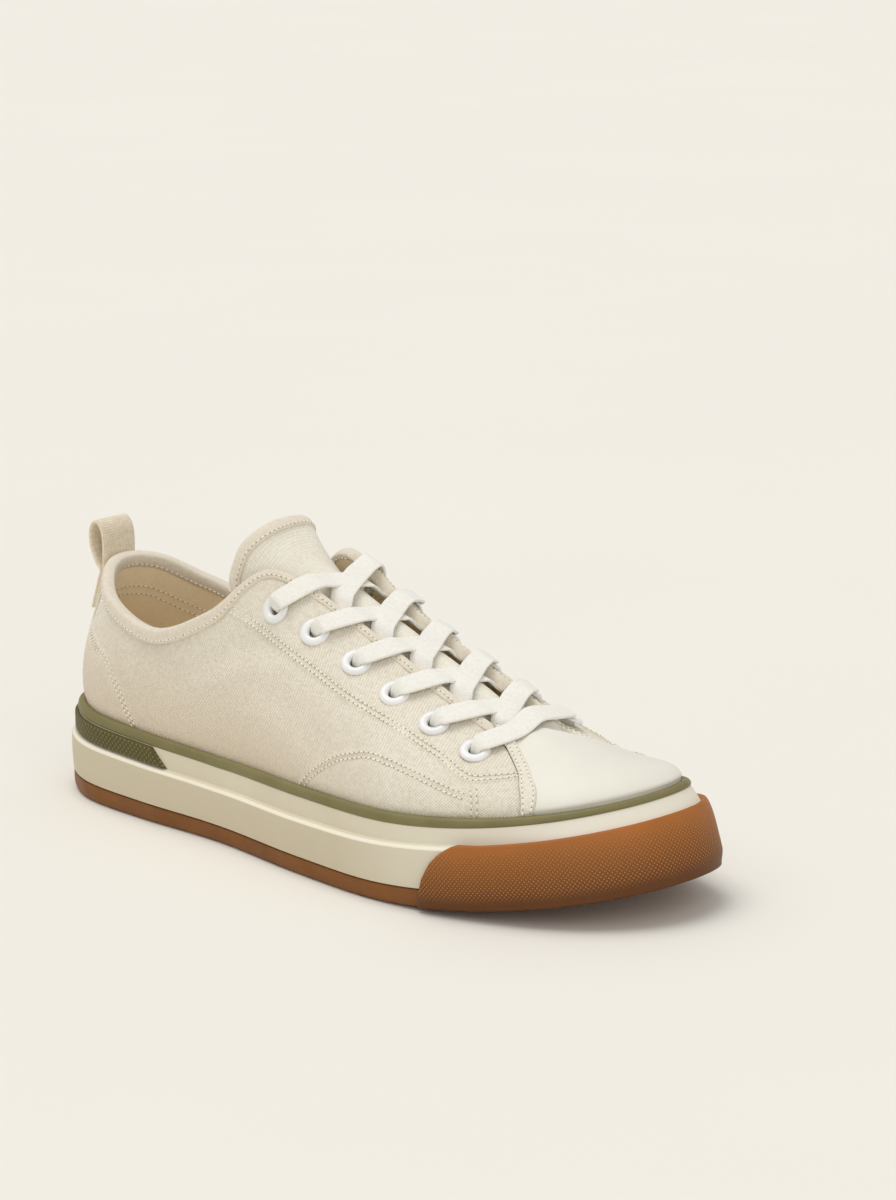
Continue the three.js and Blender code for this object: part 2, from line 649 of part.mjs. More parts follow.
add("outsole", outsole(), MATERIALS.gum);
add("midsole", midsole(), MATERIALS.cream);
add("foxing_bead", bead(), MATERIALS.olive);
add("heel_band", heelBand(), MATERIALS.darkOlive);
add("toe_guard", toeGuard(), MATERIALS.gum);
add("insole", insole(), MATERIALS.lining);
add("upper", upper(), MATERIALS.canvas);
add("toe_cap", toeCap(), MATERIALS.smooth);
add("binding", binding(), MATERIALS.tape);
add("back_stay", backStay(), MATERIALS.tape);
add("tongue", tongue(), MATERIALS.canvas);
add("pull_loop", pullLoop(), MATERIALS.tape);
for (const place of eyeletPlaces()) {
  add(`eyelet_${place.side < 0 ? "outer" : "inner"}_${place.number}`, eyelet(place), MATERIALS.enamel);
}
add("lace_bar", laceBar(), MATERIALS.lace);
for (let number = 2; number <= EYELET_COUNT; number++) {
  add(`lace_crossing_${number}`, laceCrossing(number), MATERIALS.lace);
}

// The floor and the middle of the shoe's length and width are the frame's origin
const box = new THREE.Box3().setFromObject(shoe);
const middle = box.getCenter(new THREE.Vector3());
shoe.position.set(-middle.x, -middle.y, -box.min.z);

export default shoe;
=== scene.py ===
import math

import bmesh
import bpy
import numpy as np
from mathutils import Matrix, Vector, kdtree


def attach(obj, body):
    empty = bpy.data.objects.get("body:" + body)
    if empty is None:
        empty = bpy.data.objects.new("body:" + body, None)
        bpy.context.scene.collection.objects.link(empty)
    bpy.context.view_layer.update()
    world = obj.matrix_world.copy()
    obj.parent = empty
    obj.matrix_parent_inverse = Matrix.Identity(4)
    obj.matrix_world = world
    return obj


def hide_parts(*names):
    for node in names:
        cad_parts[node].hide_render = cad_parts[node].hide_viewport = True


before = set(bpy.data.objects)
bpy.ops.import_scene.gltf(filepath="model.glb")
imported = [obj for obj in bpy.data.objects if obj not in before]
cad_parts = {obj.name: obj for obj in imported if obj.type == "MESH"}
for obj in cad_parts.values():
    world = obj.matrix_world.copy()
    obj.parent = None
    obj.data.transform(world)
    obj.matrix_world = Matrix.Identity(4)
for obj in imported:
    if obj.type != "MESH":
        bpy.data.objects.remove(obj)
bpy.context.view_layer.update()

MM = 0.001
CENTRING = Vector((-0.249, 0.307, 0.0)) * MM

# Sizes of the last and the sole, as in the part's source
LENGTH = 292.0
BALL_WIDTH = 104.0
INSTEP_HEIGHT = 103.0
TOE_SPRING = 14.0
SPRING_START = 0.62
TOE_LEAN = 1.4
GUM_HEIGHT = 6.8
FLOOR_HEIGHT = 17.0
LEDGE_HEIGHT = 22.6
BAND_HEIGHT = 28.0
BEAD_HEIGHT = 32.0
LEDGE_STEP = 2.5
BAND_WALL = 3.0
GAP = 0.3
FOOT_INSET = LEDGE_STEP + BAND_WALL + GAP
SKIRT = 0.16
EYELET_COUNT = 6
EYELET_INSET = 14.5
EYELET_FIRST = 73.5
EYELET_PITCH = 19.0
SECTIONS_AROUND = 72


def table(names, rows):
    return {name: np.array(values, float) for name, values in zip(names.split(), zip(*rows))}


OUTLINE = table("along across", [
    (0.0, 0.0), (0.018, -0.182), (0.09, -0.318), (0.21, -0.364), (0.36, -0.383),
    (0.52, -0.459), (0.67, -0.499), (0.8, -0.443), (0.91, -0.314), (0.978, -0.126),
    (1.0, 0.086), (0.978, 0.28), (0.91, 0.384), (0.81, 0.46), (0.7, 0.478),
    (0.56, 0.41), (0.4, 0.33), (0.23, 0.34), (0.09, 0.305), (0.018, 0.178),
])
THICKNESS = table("along thickness", [(0, 1.13), (0.15, 1.07), (0.35, 0.99), (0.65, 1.01), (1, 0.98)])
SECTIONS = table("along across height rise bulge reach drop", [
    (0.06, 0.0, 0.895, 0.2, 0.035, 0.3, 0.17),
    (0.08, -0.145, 0.871, 0.2, 0.035, 0.25, 0.17),
    (0.13, -0.255, 0.787, 0.18, 0.02, 0.1, 0.15),
    (0.219, -0.29, 0.723, 0.16, 0.01, 0.1, 0.14),
    (0.315, -0.279, 0.83, 0.18, 0.01, 0.2, 0.16),
    (0.4, -0.192, 1.008, 0.22, 0.01, 0.35, 0.18),
    (0.517, -0.121, 0.866, 0.17, 0.01, 0.42, 0.18),
    (0.65, -0.12, 0.699, 0.12, 0.01, 0.42, 0.15),
    (0.757, -0.112, 0.566, 0.07, 0.005, 0.45, 0.09),
    (0.767, -0.055, 0.557, 0.06, 0.0, 0.45, 0.0),
    (0.768, 0.003, 0.559, 0.04, 0.0, 0.45, -0.01),
    (0.767, 0.06, 0.561, 0.045, 0.0, 0.45, 0.0),
    (0.757, 0.117, 0.573, 0.05, 0.005, 0.45, 0.09),
    (0.65, 0.124, 0.704, 0.12, 0.01, 0.42, 0.15),
    (0.517, 0.125, 0.87, 0.18, 0.005, 0.42, 0.18),
    (0.4, 0.196, 1.015, 0.24, 0.0, 0.35, 0.18),
    (0.315, 0.275, 0.84, 0.2, 0.0, 0.2, 0.16),
    (0.219, 0.285, 0.74, 0.17, 0.005, 0.1, 0.14),
    (0.13, 0.25, 0.79, 0.18, 0.02, 0.1, 0.15),
    (0.08, 0.14, 0.871, 0.2, 0.035, 0.25, 0.17),
])


# The last, on arrays of turns (0 to 1 round the shoe from the heel, outer side first) and of v
# (0 at the sole's floor, SKIRT at the bead, 1 at the opening's edge)
def column(rows, name, turn):
    values = rows[name]
    place = (np.asarray(turn, float) % 1) * len(values)
    first = np.floor(place).astype(int)
    s = place - first
    a, b, c, d = (values[(first + step) % len(values)] for step in (-1, 0, 1, 2))
    return b + 0.5 * s * (c - a + s * (2 * a - 5 * b + 4 * c - d + s * (3 * (b - c) + d - a)))


def unit(vectors):
    return vectors / np.linalg.norm(vectors, axis=-1, keepdims=True)


def arrays(*values):
    return np.broadcast_arrays(*[np.asarray(value, float) for value in values])


def outline_at(turn, offset, height):
    turn, offset, height = arrays(turn, offset, height)

    def at(t):
        x = (column(OUTLINE, "along", t) - 0.5) * LENGTH
        return np.stack([x, column(OUTLINE, "across", t) * BALL_WIDTH], -1)

    step = 0.25 / SECTIONS_AROUND
    tangent = unit(at(turn + step) - at(turn - step))
    outward = np.stack([tangent[..., 1], -tangent[..., 0]], -1)
    x, y = np.moveaxis(at(turn) + outward * offset[..., None], -1, 0)
    along = x / LENGTH + 0.5
    layer = height * np.interp(along, THICKNESS["along"], THICKNESS["thickness"])
    lift = np.maximum(0, (along - SPRING_START) / (1 - SPRING_START))
    slope = 2 * TOE_SPRING * lift / ((1 - SPRING_START) * LENGTH)
    return np.stack([x - layer * slope * TOE_LEAN, y, TOE_SPRING * lift ** 2 + layer], -1)


def last_point(turn, v):
    turn, v = arrays(turn, v)
    value = {name: column(SECTIONS, name, turn) for name in SECTIONS}
    root = outline_at(turn, -FOOT_INSET, BEAD_HEIGHT)
    foot = outline_at(turn, -FOOT_INSET, FLOOR_HEIGHT + GAP)
    outward = outline_at(turn, 1, 0) - outline_at(turn, 0, 0)
    outward[..., 2] = 0
    edge = np.stack([
        (value["along"] - 0.5) * LENGTH,
        value["across"] * BALL_WIDTH,
        value["height"] * INSTEP_HEIGHT,
    ], -1)
    lower = root + outward * (value["bulge"] * BALL_WIDTH)[..., None]
    lower[..., 2] += value["rise"] * INSTEP_HEIGHT
    upper = edge + (root - edge) * value["reach"][..., None]
    upper[..., 2] = edge[..., 2] - value["drop"] * INSTEP_HEIGHT
    s = np.maximum(0, (v - SKIRT) / (1 - SKIRT))[..., None]
    wall = root * (1 - s) ** 3 + 3 * lower * s * (1 - s) ** 2 + 3 * upper * s ** 2 * (1 - s) + edge * s ** 3
    skirt = foot + (root - foot) * (v / SKIRT)[..., None]
    return np.where((v < SKIRT)[..., None], skirt, wall)


def last_normal(turn, v):
    turn, v = arrays(turn, v)
    step = 0.004
    low = np.where(v < SKIRT + step, 0, v - step)
    high = np.where(v < SKIRT + step, SKIRT, np.minimum(1, v + step))
    around = last_point(turn + step, v) - last_point(turn - step, v)
    return unit(np.cross(around, last_point(turn, high) - last_point(turn, low)))


def off_last(turn, v, distance):
    turn, v, distance = arrays(turn, v, distance)
    return last_point(turn, v) + last_normal(turn, v) * distance[..., None]


EDGE = last_point(np.linspace(0, 1, SECTIONS_AROUND * 4 + 1), 1)


def row_at_depth(turn, depth):
    """The row v of the face that lies a depth below the opening's edge, for one turn."""
    low, high = SKIRT, 1.0
    for _ in range(20):
        middle = (low + high) / 2
        if np.linalg.norm(EDGE - last_point(turn, middle), axis=1).min() > depth:
            low = middle
        else:
            high = middle
    return low


def throat_turn(x, side, depth):
    """The turn at which the line a depth below the throat's edge passes x, on one side."""
    rear, front = 0.22, 0.42
    for _ in range(14):
        middle = (rear + front) / 2
        turn = middle if side < 0 else 1 - middle
        if last_point(turn, row_at_depth(turn, depth) if depth > 0 else 1)[0] < x:
            rear = middle
        else:
            front = middle
    return rear if side < 0 else 1 - rear


# Mesh makers
def share(value, low, high):
    return np.clip((value - low) / (high - low), 0, 1)


def smooth(value, low, high):
    s = share(value, low, high)
    return s * s * (3 - 2 * s)


def place_in_scene(name, mesh, material, replaced=()):
    piece = bpy.data.objects.new(name, mesh)
    bpy.context.scene.collection.objects.link(piece)
    mesh.materials.clear()
    mesh.materials.append(material)
    mesh.polygons.foreach_set("use_smooth", [True] * len(mesh.polygons))
    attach(piece, "root")
    if replaced:
        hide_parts(*replaced)
    return piece


def cloth_grid(name, steps_across, steps_up, place, cloth):
    """A grid laid on a surface. place and cloth take shares across and up, and give the points in
    millimetres and the flat cloth's map in millimetres."""
    bm = bmesh.new()
    bmesh.ops.create_grid(bm, x_segments=steps_across, y_segments=steps_up, size=0.5)
    mesh = bpy.data.meshes.new(name)
    bm.to_mesh(mesh)
    bm.free()
    flat = np.zeros(len(mesh.vertices) * 3)
    mesh.vertices.foreach_get("co", flat)
    flat = flat.reshape(-1, 3)[:, :2] + 0.5
    points = place(flat[:, 0], flat[:, 1]) * MM + np.array(CENTRING)
    mesh.vertices.foreach_set("co", points.ravel())
    corners = np.zeros(len(mesh.loops), int)
    mesh.loops.foreach_get("vertex_index", corners)
    layer = mesh.uv_layers.new(name="cloth")
    layer.data.foreach_set("uv", (cloth(flat[:, 0], flat[:, 1]) * MM)[corners].ravel())
    mesh.update()
    return mesh


def weld(mesh, close=False):
    """Joins the grid's doubled edges, closes open ends and turns the faces outwards."""
    bm = bmesh.new()
    bm.from_mesh(mesh)
    bmesh.ops.remove_doubles(bm, verts=bm.verts, dist=1e-6)
    bmesh.ops.dissolve_degenerate(bm, dist=1e-7, edges=bm.edges)
    if close:
        made = bmesh.ops.holes_fill(bm, edges=[edge for edge in bm.edges if edge.is_boundary], sides=0)
        bmesh.ops.triangulate(bm, faces=made["faces"])
    bmesh.ops.recalc_face_normals(bm, faces=bm.faces)
    bm.to_mesh(mesh)
    bm.free()
    mesh.update()


def thicken(piece, thickness, side=-1):
    """Gives a cloth face its thickness, behind it (-1) or in front (1)."""
    wall = piece.modifiers.new("thickness", "SOLIDIFY")
    wall.thickness = thickness * MM
    wall.offset = side
    return piece


def lengths_along(line):
    return np.concatenate([[0], np.cumsum(np.linalg.norm(np.diff(line, axis=0), axis=1))])


def rounded(corners, steps=4):
    """A section through corners (across, up, radius), each rounded by a curve."""
    corners = np.array(corners, float)
    points = []
    for before, (x, y, radius), after in zip(np.roll(corners, 1, 0), corners, np.roll(corners, -1, 0)):
        here = np.array([x, y])
        if radius == 0:
            points.append(here)
            continue
        ends = []
        for other in (before, after):
            way = other[:2] - here
            reach = np.linalg.norm(way)
            ends.append(here + way / reach * min(radius, reach * 0.49))
        for s in np.linspace(0, 1, steps + 1):
            points.append(ends[0] * (1 - s) ** 2 + 2 * here * s * (1 - s) + ends[1] * s ** 2)
    return np.array(points)


def through(points, steps):
    """A smooth open line through rows of numbers, with even shares between them."""
    points = np.array(points, float)
    padded = np.vstack([2 * points[0] - points[1], points, 2 * points[-1] - points[-2]])
    place = np.linspace(0, len(points) - 1, steps)
    first = np.minimum(place.astype(int), len(points) - 2)
    s = (place - first)[:, None]
    a, b, c, d = (padded[first + step] for step in range(4))
    return b + 0.5 * s * (c - a + s * (2 * a - 5 * b + 4 * c - d + s * (3 * (b - c) + d - a)))


def spots_along(places, lengths, line):
    """The line's rows of numbers at places along its length."""
    return np.stack([np.interp(places, lengths, values) for values in line.T], -1)


def evenly(line, spacing):
    """The line again with points at even spacing."""
    lengths = lengths_along(line)
    return spots_along(np.linspace(0, lengths[-1], max(2, int(lengths[-1] / spacing))), lengths, line)


TURN_STEPS = np.linspace(-1, 2, 3001)
SOLE_GIRTH = lengths_along(outline_at(TURN_STEPS, 0, 0))
GIRTH = lengths_along(last_point(TURN_STEPS, 0.6))


def on_cloth(turn, v):
    """Where a point of the upper lies on the flat cloth, in millimetres from the heel and the sole."""
    return np.stack([np.interp(turn, TURN_STEPS, GIRTH), last_point(turn, v)[..., 2] * 0.5 + v * 40], -1)


def ledge_drop(turn, height):
    """How far the ledge and the faces beside it lie lower from the heel to the ball than at the toe."""
    m = np.minimum(turn % 1, 1 - turn % 1)
    return 1.15 * (1 - smooth(m, 0.24, 0.34)) * smooth(height, 12, 20) * (1 - smooth(height, 24, 27.5))


def toe_flare(turn, offset, height):
    """How far the band's foot comes out over the toe guard, where the sole has no open ledge."""
    toe = smooth(np.minimum(turn % 1, 1 - turn % 1), 0.35, 0.42)
    foot = (1 - share(height, LEDGE_HEIGHT, BAND_HEIGHT - 1)) * smooth(height, 20, 22)
    return toe * foot * smooth(-offset, 0.8, 2.0) * (1 - smooth(-offset, 3.0, 4.5)) * 2.3


def bead_waist(turn, height):
    """How far the bead's faces lie lower, as it gets thinner towards the toe."""
    toe = smooth(np.minimum(turn % 1, 1 - turn % 1), 0.3, 0.45)
    return toe * (0.25 + 0.34 * (height - 30.2))


def sole_band(name, section, steps=360, ring=False, lowered=ledge_drop):
    """A band of the sole: a section of (offset, height) swept once round the outline. ring closes
    the section, and without it the band is closed under and over its first and last line."""
    loop = np.vstack([section, section[:1]]) if ring else np.array(section)
    lengths = lengths_along(loop)

    def place(s, t):
        row = np.round(t * (len(loop) - 1)).astype(int)
        offset = loop[row, 0] + toe_flare(s, loop[row, 0], loop[row, 1])
        return outline_at(s, offset, loop[row, 1] - lowered(s, loop[row, 1]))

    def cloth(s, t):
        row = np.round(t * (len(loop) - 1)).astype(int)
        return np.stack([np.interp(s, TURN_STEPS, SOLE_GIRTH), lengths[row]], -1)

    mesh = cloth_grid(name, steps, len(loop) - 1, place, cloth)
    weld(mesh, close=True)
    return mesh


def sweep(name, line, across, section):
    """A tape or cord: a closed section of (across, up) swept along a line. across gives the width's
    direction at each point, and section may be one for all points or one for each."""
    line = np.asarray(line, float)
    tangent = unit(np.gradient(line, axis=0))
    side = unit(across - tangent * np.sum(across * tangent, -1, keepdims=True))
    up = np.cross(side, tangent)
    section = np.asarray(section, float)
    if section.ndim == 2:
        section = np.repeat(section[None], len(line), 0)
    section = np.concatenate([section, section[:, :1]], 1)
    lengths = lengths_along(line)
    around = lengths_along(section[len(line) // 2])

    def rows(s, t):
        return np.round(s * (len(line) - 1)).astype(int), np.round(t * (section.shape[1] - 1)).astype(int)

    def place(s, t):
        i, k = rows(s, t)
        return line[i] + side[i] * section[i, k, :1] + up[i] * section[i, k, 1:]

    def cloth(s, t):
        i, k = rows(s, t)
        return np.stack([lengths[i], around[k]], -1)

    mesh = cloth_grid(name, len(line) - 1, section.shape[1] - 1, place, cloth)
    weld(mesh, close=True)
    return mesh


def joined(name, meshes):
    bm = bmesh.new()
    for mesh in meshes:
        bm.from_mesh(mesh)
        bpy.data.meshes.remove(mesh)
    whole = bpy.data.meshes.new(name)
    bm.to_mesh(whole)
    bm.free()
    return whole


def flat_section(width, thickness, roundness=0.5, steps=3):
    half, rise = width / 2, thickness / 2
    radius = rise * 2 * roundness
    corners = ((-half, -rise), (half, -rise), (half, rise), (-half, rise))
    return rounded([(*corner, radius) for corner in corners], steps)


STITCH_LENGTH = 1.55
STITCH_PITCH = 2.1
STITCH_WIDTH = 0.62
STRIP_STITCH_WIDTH = 0.85


def stitches(name, line, normals, pitch=STITCH_PITCH, length=STITCH_LENGTH, width=STITCH_WIDTH):
    """A row of sewn stitches along a line, sunk to half their thickness."""
    lengths = lengths_along(line)
    count = max(1, int(lengths[-1] / pitch))
    places = (np.arange(count) + 0.5) / count * lengths[-1]
    at = [spots_along(places + step, lengths, line) for step in (-pitch / 2, 0, pitch / 2)]
    up = unit(spots_along(places, lengths, normals))
    ahead = unit(at[2] - at[0])
    bm = bmesh.new()
    for middle, x, z in zip(at[1], ahead, up):
        y = np.cross(z, x)
        turn = Matrix(np.stack([x, y, np.cross(x, y)], -1).tolist()).to_4x4()
        spot = Matrix.Translation(Vector(middle) * MM + CENTRING)
        size = Matrix.Diagonal((length * MM, width * MM, width * 0.75 * MM, 1))
        bmesh.ops.create_uvsphere(bm, u_segments=6, v_segments=4, radius=0.5,
                                  matrix=spot @ turn @ size @ Matrix.Rotation(math.pi / 2, 4, "Y"))
    mesh = bpy.data.meshes.new(name)
    bm.to_mesh(mesh)
    bm.free()
    return mesh


# Materials
def finish(name, roughness, sheen=0.0, specular=0.5):
    material = bpy.data.materials.new(name)
    material.use_nodes = True
    shader = material.node_tree.nodes["Principled BSDF"]
    shader.inputs["Roughness"].default_value = roughness
    shader.inputs["Sheen Weight"].default_value = sheen
    shader.inputs["Sheen Roughness"].default_value = 0.6
    shader.inputs["Specular IOR Level"].default_value = specular
    return material, shader


def feed(material, value, socket):
    if isinstance(value, bpy.types.NodeSocket):
        material.node_tree.links.new(value, socket)
    else:
        socket.default_value = value


def node(material, kind, inputs=None, **settings):
    """Adds a shader node. inputs maps a socket to a number or to another node's output."""
    added = material.node_tree.nodes.new("ShaderNode" + kind)
    for name, value in settings.items():
        setattr(added, name, value)
    for socket, value in (inputs or {}).items():
        feed(material, value, added.inputs[socket])
    return added


def maths(material, operation, a, b=0.0):
    return node(material, "Math", {0: a, 1: b}, operation=operation).outputs[0]


def blend(material, factor, first, second):
    mixed = node(material, "Mix", {0: factor, 6: first, 7: second}, data_type="RGBA")
    return mixed.outputs[2]


def noise(material, scale, detail=3.0, roughness=0.5):
    place = node(material, "TexCoord").outputs["Object"]
    inputs = {"Vector": place, "Scale": scale, "Detail": detail, "Roughness": roughness}
    return node(material, "TexNoise", inputs).outputs["Fac"]


def up_the_cloth(material):
    """How far up its piece's cloth map a point lies, in metres."""
    cloth = node(material, "UVMap", uv_map="cloth").outputs["UV"]
    return node(material, "SeparateXYZ", {"Vector": cloth}).outputs["Y"]


def place_along(material, axis):
    """A point's place along one of the shoe's axes, in metres."""
    spot = node(material, "TexCoord").outputs["Object"]
    return node(material, "SeparateXYZ", {"Vector": spot}).outputs[axis]


def ramp(material, value, low, high, to_low=0.0, to_high=1.0):
    inputs = {"Value": value, "From Min": low, "From Max": high, "To Min": to_low, "To Max": to_high}
    return node(material, "MapRange", inputs).outputs["Result"]


def mottled(material, base, other, grain, low, high, most=1.0):
    """Patches of another tone, where a noise of (scale, detail, roughness) is high."""
    return blend(material, ramp(material, noise(material, *grain), low, high, 0.0, most), base, other)


def seen(red, green, blue):
    """A colour as seen on a screen, from 0 to 255, for a shader."""
    return tuple(((c / 255 + 0.055) / 1.055) ** 2.4 for c in (red, green, blue)) + (1.0,)


def darker(colour, share_left):
    return tuple(c * share_left for c in colour[:3]) + (1.0,)


def bump(material, shader, height, distance, strength=1.0, under=None):
    inputs = {"Height": height, "Distance": distance * MM, "Strength": strength}
    if under is not None:
        inputs["Normal"] = under
    made = node(material, "Bump", inputs).outputs["Normal"]
    feed(material, made, shader.inputs["Normal"])
    return made


def weave(material, spacing, turned=0.0):
    """Heights of a plain weave on the piece's cloth map, 0 in the pits and 1 on the threads."""
    cloth = node(material, "UVMap", uv_map="cloth").outputs["UV"]
    cloth = node(material, "Mapping", {"Vector": cloth, "Rotation": (0, 0, turned)}).outputs["Vector"]
    drift = node(material, "TexNoise", {"Vector": cloth, "Scale": 120.0, "Detail": 2.0}).outputs["Color"]
    drift = node(material, "VectorMath", {0: drift, 3: 0.0006}, operation="SCALE").outputs[0]
    cloth = node(material, "VectorMath", {0: cloth, 1: drift}, operation="ADD").outputs[0]
    parts = node(material, "SeparateXYZ", {"Vector": cloth})
    per_thread = math.pi / (spacing * MM)
    x, y = (maths(material, "SINE", maths(material, "MULTIPLY", parts.outputs[axis], per_thread))
            for axis in ("X", "Y"))
    over = ramp(material, maths(material, "MULTIPLY", x, y), -0.3, 0.3)

    def thread(wave, shown):
        rounded_top = maths(material, "POWER", maths(material, "ABSOLUTE", wave), 0.6)
        return maths(material, "MULTIPLY", rounded_top, shown)

    return maths(material, "ADD", thread(x, over), thread(y, maths(material, "SUBTRACT", 1.0, over)))


def woven(name, colour, pit_shade_and_mottle, spacing=0.95, depth=0.16, roughness=0.92, turned=0.0, second_tone=None):
    """Plain-weave cloth: thread colour, pits painted darker as painted shade in the weave's hollows,
    slubs and soft uneven tone, and a warmer, darker tone low at the heel's sides."""
    material, shader = finish(name, roughness, sheen=0.12, specular=0.25)
    height = weave(material, spacing, turned)
    # Painted shade: the weave's pits take the darker colour, which also serves the random slubs and patches
    # below.
    base = blend(material, ramp(material, height, 0.1, 0.75), pit_shade_and_mottle, colour)
    base = mottled(material, base, pit_shade_and_mottle, (700.0, 2.0), 0.4, 0.72, 0.35)
    base = mottled(material, base, pit_shade_and_mottle, (22.0, 4.0, 0.6), 0.4, 0.65, 0.12)
    # A warmer, darker tone low at the heel's sides, darker towards the bottom.
    if second_tone:
        low = ramp(material, place_along(material, "Z"), 0.034, 0.075, 0.5, 0.0)
        rear = ramp(material, place_along(material, "X"), -0.02, 0.05, 1.0, 0.0)
        base = blend(material, maths(material, "MULTIPLY", low, rear), base, second_tone)
    feed(material, base, shader.inputs["Base Color"])
    first = bump(material, shader, noise(material, 160.0), 0.12, 0.5)
    bump(material, shader, height, depth, 0.8, first)
    return material


def cream_rubber(name, colour, wall, painted_lit_toe, line, edges):
    """The cup's rubber: painted shade on the lower wall, a painted highlight line on the ledge and painted
    light on a paler toe.
    """
    material = rubber(name, colour, blend_of(colour, painted_lit_toe, 0.35), 0.55)
    shader = material.node_tree.nodes["Principled BSDF"]
    base = shader.inputs["Base Color"].links[0].from_socket
    up = up_the_cloth(material)
    low, high = edges
    # Painted shade: the whole lower wall below the ledge is darkened towards the wall colour.
    base = blend(material, ramp(material, up, (low - 0.3) * MM, low * MM, 0.8, 0.0), base, wall)
    # Painted light: the toe end is lightened towards the paler toe colour.
    base = blend(material, ramp(material, place_along(material, "X"), 0.03, 0.115), base, painted_lit_toe)
    # Painted highlight: a light line along the ledge's top, between the section lengths in edges.
    painted_ledge_highlight = maths(material, "MULTIPLY", ramp(material, up, (low - 0.2) * MM, (low + 0.15) * MM),
                   ramp(material, up, (high - 0.15) * MM, (high + 0.2) * MM, 1.0, 0.0))
    base = blend(material, maths(material, "MULTIPLY", painted_ledge_highlight, 0.85), base, line)
    feed(material, base, shader.inputs["Base Color"])
    return material


def blend_of(first, second, part):
    return tuple(a + (b - a) * part for a, b in zip(first, second))


def rubber(name, colour, second_tone, roughness):
    """Moulded rubber: faint mottling, paler scuffed spots and a fine grain."""
    material, shader = finish(name, roughness, specular=0.3)
    base = mottled(material, colour, second_tone, (45.0, 5.0, 0.6), 0.38, 0.68, 0.5)
    feed(material, base, shader.inputs["Base Color"])
    dull = ramp(material, noise(material, 120.0), 0.3, 0.7, roughness - 0.08, roughness + 0.1)
    feed(material, dull, shader.inputs["Roughness"])
    bump(material, shader, noise(material, 900.0, 2.0), 0.03, 0.5)
    return material


def dotted(name, colour, dot, spacing, low, fade=None, roughness=0.55, painted_shade_foot_colour=None, shade=(0, 1)):
    """Rubber with raised dots, painted lighter as a highlight, on a diagonal grid of the piece's cloth map,
    with painted shade towards its foot.
    """
    material, shader = finish(name, roughness, specular=0.25)
    cloth = node(material, "UVMap", uv_map="cloth").outputs["UV"]
    diagonal = {"Vector": cloth, "Rotation": (0, 0, math.radians(45))}
    parts = node(material, "SeparateXYZ", {"Vector": node(material, "Mapping", diagonal).outputs["Vector"]})
    per_dot = 2 * math.pi / (spacing * MM)
    waves = [maths(material, "COSINE", maths(material, "MULTIPLY", parts.outputs[axis], per_dot))
             for axis in ("X", "Y")]
    height = ramp(material, maths(material, "ADD", waves[0], waves[1]), low, 1.7)
    up = up_the_cloth(material)
    if fade:
        foot = ramp(material, up, fade[0] * MM, fade[1] * MM)
        head = ramp(material, up, fade[2] * MM, fade[3] * MM, 1.0, 0.0)
        height = maths(material, "MULTIPLY", height, maths(material, "MULTIPLY", foot, head))
    # Painted shade: darker towards the foot over the shade range, as the light falls from above.
    if painted_shade_foot_colour:
        colour = blend(material, ramp(material, up, shade[0] * MM, shade[1] * MM), painted_shade_foot_colour, colour)
    second_tone = blend(material, 0.3, colour, darker(dot, 0.3))
    base = mottled(material, colour, second_tone, (40.0, 4.0, 0.6), 0.35, 0.7, 0.8)
    # Painted highlight: the raised dots' tops take the lighter dot colour.
    base = blend(material, maths(material, "MULTIPLY", height, 0.75), base, dot)
    feed(material, base, shader.inputs["Base Color"])
    bump(material, shader, height, 0.28, 0.9)
    return material


def even(name, colour, roughness, specular=0.5, grain=600.0, depth=0.02):
    """A smooth finish with a fine grain and slightly uneven tone."""
    material, shader = finish(name, roughness, specular=specular)
    base = mottled(material, colour, darker(colour, 0.93), (30.0, 4.0), 0.35, 0.7)
    feed(material, base, shader.inputs["Base Color"])
    bump(material, shader, noise(material, grain), depth, 0.6)
    return material


# The canvas's last colour is the warmer, darker tone low at the heel's sides.
CANVAS_CLOTH = woven("canvas", seen(250, 244, 229), seen(206, 192, 163), 0.98, 0.3, turned=0.7,
                     second_tone=seen(214, 188, 158))
CAP_CLOTH = even("smooth_cloth", seen(237, 234, 222), 0.62, 0.35, 900.0, 0.03)
STRIP_CLOTH = woven("strip_canvas", seen(244, 239, 225), seen(214, 203, 180), 0.8, 0.12)
TAPE_CLOTH = woven("binding_tape", seen(239, 230, 213), seen(212, 198, 175), 0.55, 0.09, 0.85)
LINING_CLOTH = woven("lining", seen(252, 236, 204), seen(236, 210, 168), 0.5, 0.06, 0.95)
TONGUE_CLOTH = woven("tongue_canvas", seen(248, 244, 231), seen(219, 208, 184), 0.85, 0.14)
LOOP_CLOTH = woven("loop_tape", seen(246, 235, 213), seen(196, 174, 138), 0.9, 0.18)
LACE_CLOTH = woven("lace", seen(249, 247, 240), seen(226, 221, 207), 0.62, 0.08, 0.85)
THREAD = even("thread", seen(250, 246, 232), 0.8, 0.3, 2000.0, 0.02)
# Painted shade: the dark colour standing in for the shade in the needle holes.
NEEDLE_HOLE_SHADE = even("needle_hole_shade", seen(170, 153, 122), 0.9, 0.1, 2000.0, 0.02)
# Cup colours: rubber, painted shade for the lower wall, painted light for the toe, painted highlight for the
# ledge line.
CREAM = cream_rubber("cream_rubber", seen(221, 212, 188), seen(207, 195, 168), seen(240, 235, 219),
                     seen(246, 239, 221), (15.1, 16.5))
GUM = rubber("gum_rubber", seen(124, 77, 32), seen(146, 95, 46), 0.55)
# Guard: gum colour, the dots' painted highlight, and painted shade at its foot over the shade range.
GUARD_GUM = dotted("gum_dots", seen(172, 104, 46), seen(204, 140, 76), 1.15, 0.2,
                   (3.0, 7.0, 18.5, 22.5), 0.5, seen(98, 56, 21), (4.0, 22.0))
OLIVE = rubber("olive_rubber", seen(122, 114, 72), seen(140, 133, 92), 0.45)
# Heel band: olive colour, then the dots' painted highlight.
OLIVE_DOTS = dotted("olive_dots", seen(87, 79, 40), seen(138, 130, 82), 1.7, 0.1)
ENAMEL = even("eyelet_enamel", seen(243, 242, 241), 0.28, 0.5, 300.0, 0.01)


